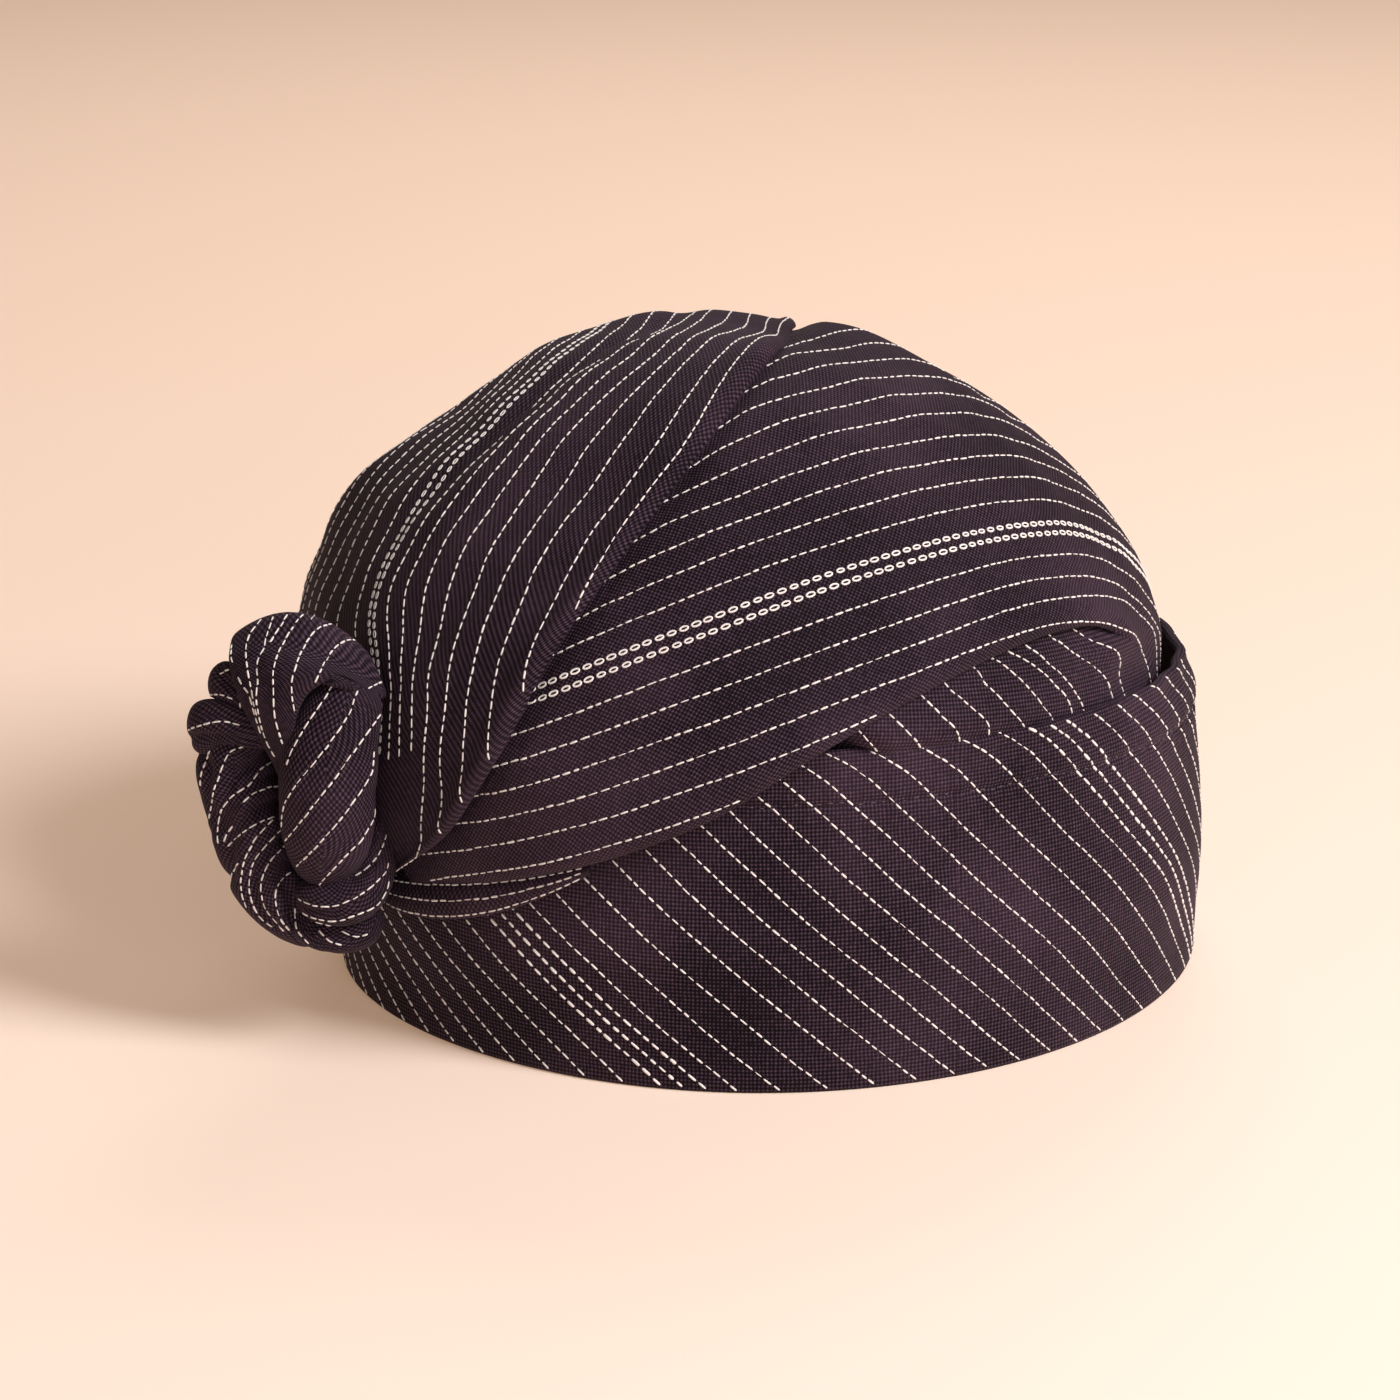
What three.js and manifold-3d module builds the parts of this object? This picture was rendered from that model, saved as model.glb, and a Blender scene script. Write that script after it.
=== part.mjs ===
// A ready-tied head-wrap cap: a stiff cloth band, an inner crown, two wrapped panels and a
// cloth knot at the back. Millimetres, +Z up, +X towards the front of the head.

import * as THREE from 'three';
import Module from 'manifold-3d';
import { mergeVertices } from 'three/addons/utils/BufferGeometryUtils.js';

const manifold = await Module();
manifold.setup();

// ---------------------------------------------------------------- driving dimensions

const RIM = { halfLength: 103, halfWidth: 95 };
const BAND = { height: 77.2, frontDip: 6, dipSharpness: 4, wall: 2.6, lean: 4, hem: 12 };
const CROWN = {
  centre: new THREE.Vector3(-11.9, 0, 70),
  halfLength: 103,
  halfWidth: 98,
  rise: 82,
  drop: 110,
  roundness: 1.76,
};
// Broad dents and swellings of the wrapped cloth; spread is an angle seen from the crown's centre.
const RELIEF = [
  { bearing: -5, elevation: 81, spread: 15, height: -3.6 },
  { bearing: 158, elevation: 45, spread: 14, height: -3 },
  { bearing: 150, elevation: 24, spread: 9, height: 1.5 },
  { bearing: 172, elevation: 5, spread: 24, height: -3.2 },
];
const CLOTH = 2.2;
const BAND_CLEARANCE = 0.8;
const TUCK_CLEARANCE = 3.6;
// Cloth is held to the band between these heights, each the z of a direction from the crown's centre.
const HELD_TO_BAND = { outsideLow: 0, insideLow: 0.08, high: 0.2 };
// Panels pass outside the band behind the ears and inside it in front: each the x of a direction.
const PASSES_BAND = { outside: -0.45, outsideEnds: -0.2, insideStarts: -0.1, inside: 0.06 };
const FOLD = { radius: 3, thinning: 0.6 };
const WELD = 1e-3;
const UNDER = { lift: -5.1, wall: 2, elevations: [-13, 0, 5, 8, 11, 15, 25, 36, 48, 60, 71, 81, 90] };

const rad = THREE.MathUtils.degToRad;
const { clamp, lerp, smoothstep } = THREE.MathUtils;

// ---------------------------------------------------------------- curves and directions

// A smooth value through evenly spaced rows of a table.
function along(rows, column, s) {
  const last = rows.length - 1;
  const place = clamp(s, 0, 1) * last;
  const i = Math.min(Math.floor(place), last - 1);
  const t = place - i;
  const at = (k) => rows[clamp(k, 0, last)][column];
  const [a, b, c, d] = [at(i - 1), at(i), at(i + 1), at(i + 2)];
  return b + 0.5 * t * (c - a + t * (2 * a - 5 * b + 4 * c - d + t * (3 * (b - c) + d - a)));
}

// A smooth value of one column against another that rises down the table.
function lookUp(rows, key, column, value) {
  const last = rows.length - 1;
  let i = 0;
  while (i < last - 1 && value > rows[i + 1][key]) i += 1;
  const t = clamp((value - rows[i][key]) / (rows[i + 1][key] - rows[i][key]), 0, 1);
  return along(rows, column, (i + t) / last);
}

function direction(bearing, elevation) {
  const level = Math.cos(rad(elevation));
  const side = Math.sin(rad(bearing));
  return new THREE.Vector3(level * Math.cos(rad(bearing)), level * side, Math.sin(rad(elevation)));
}

// ---------------------------------------------------------------- the crown's outer face

// How far the band's outer wall, grown by `margin`, lies from the crown's centre.
function reachToBand(dir, margin) {
  const a = RIM.halfLength + margin;
  const b = RIM.halfWidth + margin;
  const start = CROWN.centre;
  const p = (dir.x / a) ** 2 + (dir.y / b) ** 2;
  const q = (start.x * dir.x) / a ** 2 + (start.y * dir.y) / b ** 2;
  const c = (start.x / a) ** 2 + (start.y / b) ** 2 - 1;
  return (-q + Math.sqrt(q * q - p * c)) / p;
}

// A point `lift` outside the crown's face. Low down the cloth is held outside the band's wall by
// `outside` (0 to 1) or inside it by `inside`.
function crownPoint(dir, lift, outside, inside) {
  const rise = dir.z >= 0 ? CROWN.rise : CROWN.drop;
  const plan = Math.hypot(dir.x / CROWN.halfLength, dir.y / CROWN.halfWidth);
  const up = Math.abs(dir.z) / rise;
  const q = CROWN.roundness;
  let reach = (plan ** q + up ** q) ** (-1 / q);
  const wall = reachToBand(dir, BAND_CLEARANCE + CLOTH);
  const low = 1 - smoothstep(dir.z, HELD_TO_BAND.outsideLow, HELD_TO_BAND.high);
  reach += Math.max(0, wall - reach) * low * outside;
  const room = reachToBand(dir, -BAND.lean - BAND.wall - TUCK_CLEARANCE);
  const tucked = 1 - smoothstep(dir.z, HELD_TO_BAND.insideLow, HELD_TO_BAND.high);
  reach -= Math.max(0, reach - room) * tucked * inside;
  for (const mark of RELIEF) {
    const apart = dir.angleTo(direction(mark.bearing, mark.elevation)) / rad(mark.spread);
    reach += mark.height * Math.exp(-apart * apart);
  }
  return dir.clone().multiplyScalar(reach + lift).add(CROWN.centre);
}

// A wrapped panel passes outside the band behind the ears and inside it in front of them.
function panelPoint(dir, lift) {
  const outside = 1 - smoothstep(dir.x, PASSES_BAND.outside, PASSES_BAND.outsideEnds);
  const inside = smoothstep(dir.x, PASSES_BAND.insideStarts, PASSES_BAND.inside);
  return crownPoint(dir, lift, outside, inside);
}

// ---------------------------------------------------------------- mesh builders

function asGeometry(points, triangles) {
  const flat = points.flatMap((p) => [p.x, p.y, p.z]);
  const geometry = new THREE.BufferGeometry();
  geometry.setAttribute('position', new THREE.Float32BufferAttribute(flat, 3));
  geometry.setIndex(triangles);
  const merged = mergeVertices(geometry, WELD);
  const index = merged.index.array;
  const kept = [];
  for (let i = 0; i < index.length; i += 3) {
    const [a, b, c] = [index[i], index[i + 1], index[i + 2]];
    if (a !== b && b !== c && c !== a) kept.push(a, b, c);
  }
  merged.setIndex(kept);
  return faceOutwards(merged);
}

function faceOutwards(geometry) {
  const position = geometry.attributes.position;
  const index = geometry.index.array;
  const corner = (k) => new THREE.Vector3().fromBufferAttribute(position, index[k]);
  let volume = 0;
  for (let i = 0; i < index.length; i += 3) {
    volume += corner(i).dot(corner(i + 1).cross(corner(i + 2)));
  }
  if (volume < 0) {
    for (let i = 0; i < index.length; i += 3) [index[i], index[i + 1]] = [index[i + 1], index[i]];
  }
  return geometry;
}

// A closed skin over a loop of points repeated along a path; `wrap` joins the last loop to the first.
function loft(loops, wrap) {
  const size = loops[0].length;
  const points = loops.flat();
  const triangles = [];
  const count = wrap ? loops.length : loops.length - 1;
  for (let i = 0; i < count; i += 1) {
    const here = i * size;
    const next = ((i + 1) % loops.length) * size;
    for (let j = 0; j < size; j += 1) {
      const k = (j + 1) % size;
      triangles.push(here + j, next + j, next + k, here + j, next + k, here + k);
    }
  }
  if (!wrap) {
    const end = (loops.length - 1) * size;
    for (let j = 1; j < size - 1; j += 1) {
      triangles.push(0, j, j + 1, end, end + j + 1, end + j);
    }
  }
  return asGeometry(points, triangles);
}

// A sheet of cloth as a closed strip: each loop runs out over the face and back along the lining.
function sheet(columns, rows, point) {
  const loops = [];
  for (let i = 0; i <= columns; i += 1) {
    const loop = [];
    for (let j = 0; j <= rows; j += 1) loop.push(point(i / columns, j, false));
    for (let j = rows; j >= 0; j -= 1) loop.push(point(i / columns, j, true));
    loops.push(loop);
  }
  return stripGeometry(loops, rows);
}

function stripGeometry(loops, rows) {
  const size = loops[0].length;
  const points = loops.flat();
  const triangles = [];
  for (let i = 0; i < loops.length - 1; i += 1) {
    const here = i * size;
    const next = here + size;
    for (let j = 0; j < size; j += 1) {
      const k = (j + 1) % size;
      triangles.push(here + j, next + j, next + k, here + j, next + k, here + k);
    }
  }
  const end = (loops.length - 1) * size;
  for (let j = 0; j < rows; j += 1) {
    const back = size - 1 - j;
    triangles.push(j, j + 1, back - 1, j, back - 1, back);
    triangles.push(end + j, end + back, end + back - 1, end + j, end + back - 1, end + j + 1);
  }
  return asGeometry(points, triangles);
}

// ---------------------------------------------------------------- band

// The band's section: heights as shares of its own, leans as shares of its lean, then its rounded top.
const BAND_SECTION = { upright: 0.28, waist: 0.52, waistLean: 0.3, hemLean: 0.85, hemLow: 1, hemHigh: 2 };
const BAND_TOP = { rounding: 1.2, bulge: 0.2, inset: 0.5 };

function bandHeight(angle) {
  return BAND.height - BAND.frontDip * ((1 + Math.cos(angle)) / 2) ** BAND.dipSharpness;
}

function rimPoint(angle, outward, z) {
  const normal = new THREE.Vector2(Math.cos(angle) / RIM.halfLength, Math.sin(angle) / RIM.halfWidth);
  normal.normalize();
  return new THREE.Vector3(
    RIM.halfLength * Math.cos(angle) + outward * normal.x,
    RIM.halfWidth * Math.sin(angle) + outward * normal.y,
    z,
  );
}

function bandGeometry() {
  const columns = 64;
  const loops = [];
  for (let i = 0; i < columns; i += 1) {
    const angle = (i / columns) * 2 * Math.PI;
    const top = bandHeight(angle);
    const { upright, waist, waistLean, hemLean, hemLow, hemHigh } = BAND_SECTION;
    const { rounding, bulge, inset } = BAND_TOP;
    const { lean, wall, hem } = BAND;
    const section = [
      { outward: 0, z: 0 },
      { outward: 0, z: upright * top },
      { outward: -waistLean * lean, z: waist * top },
      { outward: -hemLean * lean, z: top - hem - hemLow },
      { outward: -hemLean * lean, z: top - hem + hemHigh },
      { outward: bulge - lean, z: top - rounding },
      { outward: -inset - lean, z: top },
      { outward: inset - lean - wall, z: top },
      { outward: -lean - wall, z: top - rounding },
      { outward: -waistLean * lean - wall, z: waist * top },
      { outward: -wall, z: upright * top },
      { outward: -wall, z: 0 },
    ];
    loops.push(section.map((p) => rimPoint(angle, p.outward, p.z)));
  }
  return loft(loops, true);
}

// ---------------------------------------------------------------- inner crown

function underGeometry() {
  const columns = 40;
  const face = (bearing, elevation, lift) => crownPoint(direction(bearing, elevation), lift, 0, 1);
  const loops = [];
  for (let i = 0; i < columns; i += 1) {
    const bearing = (i / columns) * 360;
    const outer = UNDER.elevations.map((e) => face(bearing, e, UNDER.lift));
    const inner = UNDER.elevations.map((e) => face(bearing, e, UNDER.lift - UNDER.wall));
    loops.push([...outer, ...inner.reverse()]);
  }
  return loft(loops, true);
}

// ---------------------------------------------------------------- front panel

// Its own pole: `turn` runs round it from the knot to the far side, `tilt` is the angle up from it.
const FRONT_POLE = direction(107, 58.5);
const FRONT_EDGES = [
  { turn: -78, low: -16.5, high: -8 },
  { turn: -62, low: -21, high: -6 },
  { turn: -46, low: -24, high: 3 },
  { turn: -30, low: -24.5, high: 16.5 },
  { turn: -14, low: -21.8, high: 29 },
  { turn: 2, low: -19.2, high: 41 },
  { turn: 18, low: -17, high: 50 },
  { turn: 34, low: -15.6, high: 57 },
  { turn: 44, low: -16.4, high: 60 },
  { turn: 52, low: -22, high: 61.5 },
  { turn: 61, low: -31.5, high: 62.5 },
  { turn: 76, low: -26.8, high: 63 },
  { turn: 98, low: -15.5, high: 62.5 },
  { turn: 120, low: -2.5, high: 58 },
  { turn: 140, low: 9, high: 49 },
  { turn: 150, low: 15, high: 37 },
];
// The lip's swelling shows between these turns.
const FRONT_LIP = { swell: 1.3, at: 4, spread: 4, begins: -68, full: -50, fades: 110, ends: 130 };
const EDGE_STATIONS = [0, 1, 2.6, 5.5, 9.5];

const frontNear = new THREE.Vector3(0, -1, 0).projectOnPlane(FRONT_POLE).normalize();
const frontAhead = new THREE.Vector3().crossVectors(FRONT_POLE, frontNear);

function frontDirection(turn, tilt) {
  return new THREE.Vector3()
    .addScaledVector(frontNear, Math.cos(rad(turn)) * Math.cos(rad(tilt)))
    .addScaledVector(frontAhead, Math.sin(rad(turn)) * Math.cos(rad(tilt)))
    .addScaledVector(FRONT_POLE, Math.sin(rad(tilt)));
}

// Distance across the cloth in from an edge, for row j of a sheet: close rows at the fold.
function fromEdge(j, rows, width) {
  const folds = EDGE_STATIONS.length - 1;
  const squeeze = Math.min(1, width / (2 * EDGE_STATIONS[folds]));
  if (j <= folds) return EDGE_STATIONS[j] * squeeze;
  return lerp(EDGE_STATIONS[folds] * squeeze, width, (j - folds) / (rows - folds));
}

// A folded edge is full and round: nothing at the very edge, then a swelling that dies away.
function foldedLift(across, lip) {
  const rounding = Math.sqrt(1 - (1 - Math.min(1, across / FOLD.radius)) ** 2);
  const swell = lip.swell * Math.exp(-(((across - lip.at) / lip.spread) ** 2));
  return (rounding - 1) * FOLD.thinning * CLOTH + swell * rounding;
}

function frontGeometry() {
  const columns = 42;
  const rows = 13;
  const first = FRONT_EDGES[0].turn;
  const last = FRONT_EDGES.at(-1).turn;
  const point = (s, j, lining) => {
    const turn = lerp(first, last, s);
    const low = lookUp(FRONT_EDGES, 'turn', 'low', turn);
    const high = lookUp(FRONT_EDGES, 'turn', 'high', turn);
    const width = rad(high - low) * CROWN.halfLength;
    const across = fromEdge(j, rows, width);
    const dir = frontDirection(turn, lerp(low, high, across / width));
    const begun = smoothstep(turn, FRONT_LIP.begins, FRONT_LIP.full);
    const shown = begun * (1 - smoothstep(turn, FRONT_LIP.fades, FRONT_LIP.ends));
    const lip = { ...FRONT_LIP, swell: FRONT_LIP.swell * shown };
    return panelPoint(dir, lining ? -CLOTH : foldedLift(across, lip));
  };
  return sheet(columns, rows, point);
}

// ---------------------------------------------------------------- over panel

// Ruled between its thick folded edge, over the top, and its low edge round the back.
const OVER_GUIDES = [
  { edgeBearing: -161, edgeRise: -14.5, lowBearing: -167, lowRise: -19 },
  { edgeBearing: -151, edgeRise: -7, lowBearing: -184, lowRise: -21 },
  { edgeBearing: -143, edgeRise: 5, lowBearing: -197, lowRise: -20.5 },
  { edgeBearing: -138, edgeRise: 18, lowBearing: -208, lowRise: -17.5 },
  { edgeBearing: -131, edgeRise: 32, lowBearing: -218, lowRise: -14 },
  { edgeBearing: -121, edgeRise: 49, lowBearing: -227, lowRise: -10.5 },
  { edgeBearing: -101, edgeRise: 68, lowBearing: -235.5, lowRise: -6 },
  { edgeBearing: -47, edgeRise: 79, lowBearing: -243, lowRise: -2 },
  { edgeBearing: 14, edgeRise: 75.7, lowBearing: -250, lowRise: 2 },
  { edgeBearing: 38, edgeRise: 63, lowBearing: -256, lowRise: 5.5 },
  { edgeBearing: 52, edgeRise: 48, lowBearing: -262, lowRise: 8.5 },
  { edgeBearing: 60, edgeRise: 34, lowBearing: -268, lowRise: 10.5 },
  { edgeBearing: 66, edgeRise: 18, lowBearing: -274, lowRise: 9 },
  { edgeBearing: 70, edgeRise: 4, lowBearing: -280, lowRise: 1 },
  { edgeBearing: 71, edgeRise: -8, lowBearing: -284, lowRise: -8 },
];
// Along the edge, from the knot (0) to the far side (1): where the lip fades, and where the panel
// stops lying wide over the front panel.
const OVER_LIP = { swell: 1.5, at: 4.5, spread: 4, fades: 0.8, ends: 0.92 };
const OVER_LIFT = {
  overFront: 2.9,
  settled: 0.2,
  from: 12,
  nearKnot: 45,
  slope: 22,
  narrows: 0.1,
  narrow: 0.35,
};

const overCurve = (bearing, rise) => OVER_GUIDES.map((row) => {
  const d = direction(row[bearing], row[rise]);
  return { x: d.x, y: d.y, z: d.z };
});
const overEdge = overCurve('edgeBearing', 'edgeRise');
const overLow = overCurve('lowBearing', 'lowRise');
const onCurve = (rows, s) => new THREE.Vector3(
  along(rows, 'x', s), along(rows, 'y', s), along(rows, 'z', s)).normalize();

function overGeometry() {
  const columns = 36;
  const rows = 17;
  const point = (s, j, lining) => {
    const start = onCurve(overEdge, s);
    const end = onCurve(overLow, s);
    const sweep = start.angleTo(end);
    const width = sweep * CROWN.halfLength;
    const across = fromEdge(j, rows, width);
    const axis = new THREE.Vector3().crossVectors(start, end).normalize();
    const dir = start.clone().applyAxisAngle(axis, across / CROWN.halfLength);
    const narrowed = smoothstep(s, OVER_LIFT.narrows, OVER_LIFT.narrow);
    const from = lerp(OVER_LIFT.nearKnot, OVER_LIFT.from, narrowed);
    const settle = smoothstep(across, from, from + OVER_LIFT.slope);
    const lift = lerp(OVER_LIFT.overFront, OVER_LIFT.settled, settle);
    const shown = 1 - smoothstep(s, OVER_LIP.fades, OVER_LIP.ends);
    const lip = { ...OVER_LIP, swell: OVER_LIP.swell * shown };
    return panelPoint(dir, lining ? lift - CLOTH : lift + foldedLift(across, lip));
  };
  return sheet(columns, rows, point);
}

// ---------------------------------------------------------------- tuck roll

// A slim roll that lies on the band just under the front panel's low edge, beside the knot.
const TUCK_ROLL = [
  { angle: -171, z: 34.3, high: 2.2, thick: 1.8 },
  { angle: -164, z: 34.9, high: 3.2, thick: 2.4 },
  { angle: -156, z: 37.9, high: 3.2, thick: 2.5 },
  { angle: -148, z: 42.1, high: 2.8, thick: 2.3 },
  { angle: -140, z: 47.1, high: 2, thick: 1.9 },
  { angle: -133, z: 52.1, high: 1, thick: 1.2 },
];

function tuckRollGeometry() {
  const columns = 16;
  const sides = 8;
  const loops = [];
  for (let i = 0; i <= columns; i += 1) {
    const s = i / columns;
    const angle = rad(along(TUCK_ROLL, 'angle', s));
    const high = along(TUCK_ROLL, 'high', s);
    const thick = along(TUCK_ROLL, 'thick', s);
    const loop = [];
    for (let k = 0; k < sides; k += 1) {
      const round = (k / sides) * 2 * Math.PI;
      const outward = BAND_CLEARANCE + thick * (1 + Math.cos(round));
      loop.push(rimPoint(angle, outward, along(TUCK_ROLL, 'z', s) + high * Math.sin(round)));
    }
    loops.push(loop);
  }
  return loft(loops, false);
}

// ---------------------------------------------------------------- knot

// The knot has a frame of its own: across, up, and out away from the cap.
const KNOT = { centre: new THREE.Vector3(-130, -19, 59), bearing: -116, gap: 0.5, sliver: 0.12, capLift: 5.4 };
// A roll's ends close over this many loops, and its direction is read over a small step of its length.
const ROLL_END = { blunt: 0.35, loops: 1.8 };
const PATH_STEP = 0.004;
const CORE = { columns: 36, rows: 18, lowest: -50, highest: 90 };
const KNOT_OUT = direction(KNOT.bearing, 0);
const KNOT_UP = new THREE.Vector3(0, 0, 1);
const KNOT_ACROSS = new THREE.Vector3().crossVectors(KNOT_UP, KNOT_OUT);

// Each roll of cloth follows its rows; deep and broad are half sizes of its oval section, deep
// being measured along `hint`.
const KNOT_STRAP = {
  hint: KNOT_ACROSS.clone().addScaledVector(KNOT_UP, 0.12).normalize(),
  slanted: true,
  rows: [
    { across: 10, up: 22, out: -17, deep: 9, broad: 2.6 },
    { across: 7.5, up: 32.5, out: -11, deep: 12, broad: 3 },
    { across: 6, up: 38.2, out: -2, deep: 13, broad: 3 },
    { across: 8, up: 35.4, out: 5, deep: 15, broad: 3 },
    { across: 8.5, up: 30.4, out: 8.8, deep: 15.5, broad: 2.8 },
    { across: 2.4, up: 23.6, out: 9.4, deep: 8, broad: 2.8 },
    { across: 1.4, up: 16, out: 8, deep: 5, broad: 2.8 },
    { across: 2, up: 9.6, out: 5, deep: 3.6, broad: 2.6 },
    { across: 3, up: 4, out: 0, deep: 2.6, broad: 2.4 },
  ],
};
const KNOT_LOOP = {
  hint: KNOT_OUT,
  rows: [
    { across: 19, up: 29, out: -2, deep: 4.6, broad: 5.5 },
    { across: 17.6, up: 22.5, out: 2, deep: 6.5, broad: 8.6 },
    { across: 15.4, up: 13, out: 5, deep: 8.2, broad: 10.8 },
    { across: 14.4, up: 3, out: 6, deep: 8.8, broad: 11.2 },
    { across: 12.6, up: -6.5, out: 5, deep: 8.2, broad: 10 },
    { across: 10, up: -12.6, out: 2, deep: 6.4, broad: 6.6 },
    { across: 8.2, up: -15.6, out: -1.8, deep: 4.4, broad: 4.4 },
  ],
};
const KNOT_ROLL = {
  hint: KNOT_OUT,
  rows: [
    { across: 24.6, up: 12, out: -3, deep: 5, broad: 2.4 },
    { across: 23.6, up: -2, out: 0, deep: 6.4, broad: 3.6 },
    { across: 20.6, up: -13.5, out: 2.5, deep: 7.6, broad: 5 },
    { across: 13.5, up: -18.3, out: 4.5, deep: 8, broad: 5.2 },
    { across: 6.4, up: -15.6, out: 4, deep: 6.4, broad: 4.4 },
    { across: 1.6, up: -10.6, out: 0.5, deep: 4, broad: 3 },
  ],
};
const KNOT_BASE = {
  hint: KNOT_OUT,
  rows: [
    { across: 24, up: -11, out: -6, deep: 6, broad: 3.4 },
    { across: 21, up: -22, out: -3, deep: 7.5, broad: 5.6 },
    { across: 14.5, up: -27, out: -1, deep: 8.2, broad: 6.2 },
    { across: 8.4, up: -24.8, out: 1.5, deep: 7.2, broad: 5.2 },
    { across: 3.6, up: -20.6, out: 0, deep: 4.6, broad: 3.4 },
  ],
};
// A flat fold laid round the ring's upper left.
const KNOT_FOLD = {
  hint: KNOT_UP.clone().addScaledVector(KNOT_ACROSS, 0.5).normalize(),
  rows: [
    { across: 0, up: 17.5, out: 4.5, deep: 6, broad: 2.4 },
    { across: -5.5, up: 21.6, out: 5.6, deep: 7.6, broad: 2.8 },
    { across: -11, up: 21.4, out: 3.2, deep: 7.8, broad: 2.8 },
    { across: -13.2, up: 20.6, out: -2.6, deep: 8, broad: 2.8 },
    { across: -12, up: 20.4, out: -8.6, deep: 7.4, broad: 2.6 },
    { across: -6, up: 20, out: -12, deep: 6, broad: 2.2 },
  ],
};
// The twisted ring behind them, which closes on itself.
const KNOT_RING = {
  hint: KNOT_OUT,
  lobes: 3,
  twist: 4,
  relief: 0.12,
  rows: [
    { across: 2.5, up: 29, out: -6, deep: 7.5, broad: 7.5 },
    { across: -3.6, up: 23.4, out: -4, deep: 8, broad: 7.2 },
    { across: -7.6, up: 14.6, out: -3, deep: 8.6, broad: 9 },
    { across: -6.4, up: 4, out: -2.4, deep: 9, broad: 9.4 },
    { across: -4.4, up: -8, out: -1.5, deep: 9, broad: 8 },
    { across: -1, up: -18, out: -1.5, deep: 8.8, broad: 8.8 },
    { across: 5.5, up: -24.4, out: -4, deep: 8.4, broad: 8 },
    { across: 13.5, up: -22.5, out: -8, deep: 8, broad: 7.6 },
    { across: 16, up: -8, out: -8.5, deep: 8, broad: 8 },
    { across: 15.5, up: 9, out: -8.5, deep: 8, broad: 8 },
    { across: 11, up: 23, out: -8, deep: 8, broad: 8 },
  ],
};

const fromKnot = (across, up, out) => KNOT.centre.clone()
  .addScaledVector(KNOT_ACROSS, across)
  .addScaledVector(KNOT_UP, up)
  .addScaledVector(KNOT_OUT, out);

// Loops of points round a roll of cloth, its half sizes grown by `grow`.
function rollLoops(roll, columns, sides, grow) {
  const closed = Boolean(roll.lobes);
  const rows = closed ? [...roll.rows, ...roll.rows, ...roll.rows] : roll.rows;
  const place = (s) => (closed ? (roll.rows.length * (1 + s)) / (rows.length - 1) : s);
  const centre = (s) => fromKnot(
    along(rows, 'across', place(s)), along(rows, 'up', place(s)), along(rows, 'out', place(s)));
  const loops = [];
  const count = closed ? columns : columns + 1;
  for (let i = 0; i < count; i += 1) {
    const s = i / columns;
    const ahead = centre(closed ? s + PATH_STEP : Math.min(1, s + PATH_STEP));
    const behind = centre(closed ? s - PATH_STEP : Math.max(0, s - PATH_STEP));
    const tangent = ahead.sub(behind).normalize();
    const deepAxis = roll.hint.clone();
    if (!roll.slanted) deepAxis.projectOnPlane(tangent).normalize();
    const broadAxis = new THREE.Vector3().crossVectors(tangent, deepAxis).normalize();
    const nearEnd = Math.min(s, 1 - s) * columns;
    const opened = Math.min(1, (nearEnd + ROLL_END.blunt) / ROLL_END.loops);
    const end = closed ? 1 : Math.sqrt(1 - (1 - opened) ** 2);
    const endways = Math.sign(2 * s - 1) * (closed || nearEnd > 0 ? 0 : grow);
    const loop = [];
    for (let k = 0; k < sides; k += 1) {
      const round = (k / sides) * 2 * Math.PI;
      const ridge = roll.lobes * round + roll.twist * s * 2 * Math.PI;
      const lobe = closed ? 1 + roll.relief * Math.cos(ridge) : 1;
      const deep = along(rows, 'deep', place(s)) * end * lobe + grow;
      const broad = along(rows, 'broad', place(s)) * end * lobe + grow;
      loop.push(centre(s)
        .addScaledVector(tangent, endways)
        .addScaledVector(deepAxis, deep * Math.cos(round))
        .addScaledVector(broadAxis, broad * Math.sin(round)));
    }
    loops.push(loop);
  }
  return loops;
}

function asSolid(geometry) {
  return new manifold.Manifold(new manifold.Mesh({
    numProp: 3,
    vertProperties: new Float32Array(geometry.attributes.position.array),
    triVerts: new Uint32Array(geometry.index.array),
  }));
}

// The largest single body of a solid, freed of sliver faces, as a geometry.
function fromSolid(solid) {
  const bodies = solid.decompose();
  bodies.sort((one, other) => other.volume() - one.volume());
  const mesh = bodies[0].simplify(KNOT.sliver).getMesh();
  const geometry = new THREE.BufferGeometry();
  geometry.setAttribute('position', new THREE.BufferAttribute(mesh.vertProperties, 3));
  geometry.setIndex([...mesh.triVerts]);
  return geometry;
}

// The cap's outer face, which trims the knot where it is pressed against it.
function capCore(lift) {
  const loops = [];
  for (let i = 0; i < CORE.columns; i += 1) {
    const loop = [];
    for (let j = 0; j <= CORE.rows; j += 1) {
      const elevation = lerp(CORE.lowest, CORE.highest, j / CORE.rows);
      loop.push(crownPoint(direction((i / CORE.columns) * 360, elevation), lift, 1, 0));
    }
    loops.push(loop);
  }
  return asSolid(loft(loops, true));
}

// Each roll is trimmed by the ones laid over it, kept a hair apart, and by the cap.
function knotGeometries() {
  const core = capCore(KNOT.capLift);
  const over = [core];
  const trimmed = (roll, columns, sides) => {
    const whole = asSolid(loft(rollLoops(roll, columns, sides, 0), Boolean(roll.lobes)));
    const fat = asSolid(loft(rollLoops(roll, columns, sides, KNOT.gap), Boolean(roll.lobes)));
    const rest = over.reduce((solid, cutter) => solid.subtract(cutter), whole);
    over.push(fat);
    return fromSolid(rest);
  };
  return {
    knot_loop: trimmed(KNOT_LOOP, 13, 12),
    knot_strap: trimmed(KNOT_STRAP, 14, 10),
    knot_roll: trimmed(KNOT_ROLL, 12, 8),
    knot_base: trimmed(KNOT_BASE, 12, 8),
    knot_fold: trimmed(KNOT_FOLD, 11, 8),
    knot_ring: trimmed(KNOT_RING, 23, 10),
  };
}

// ---------------------------------------------------------------- assembly

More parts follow.
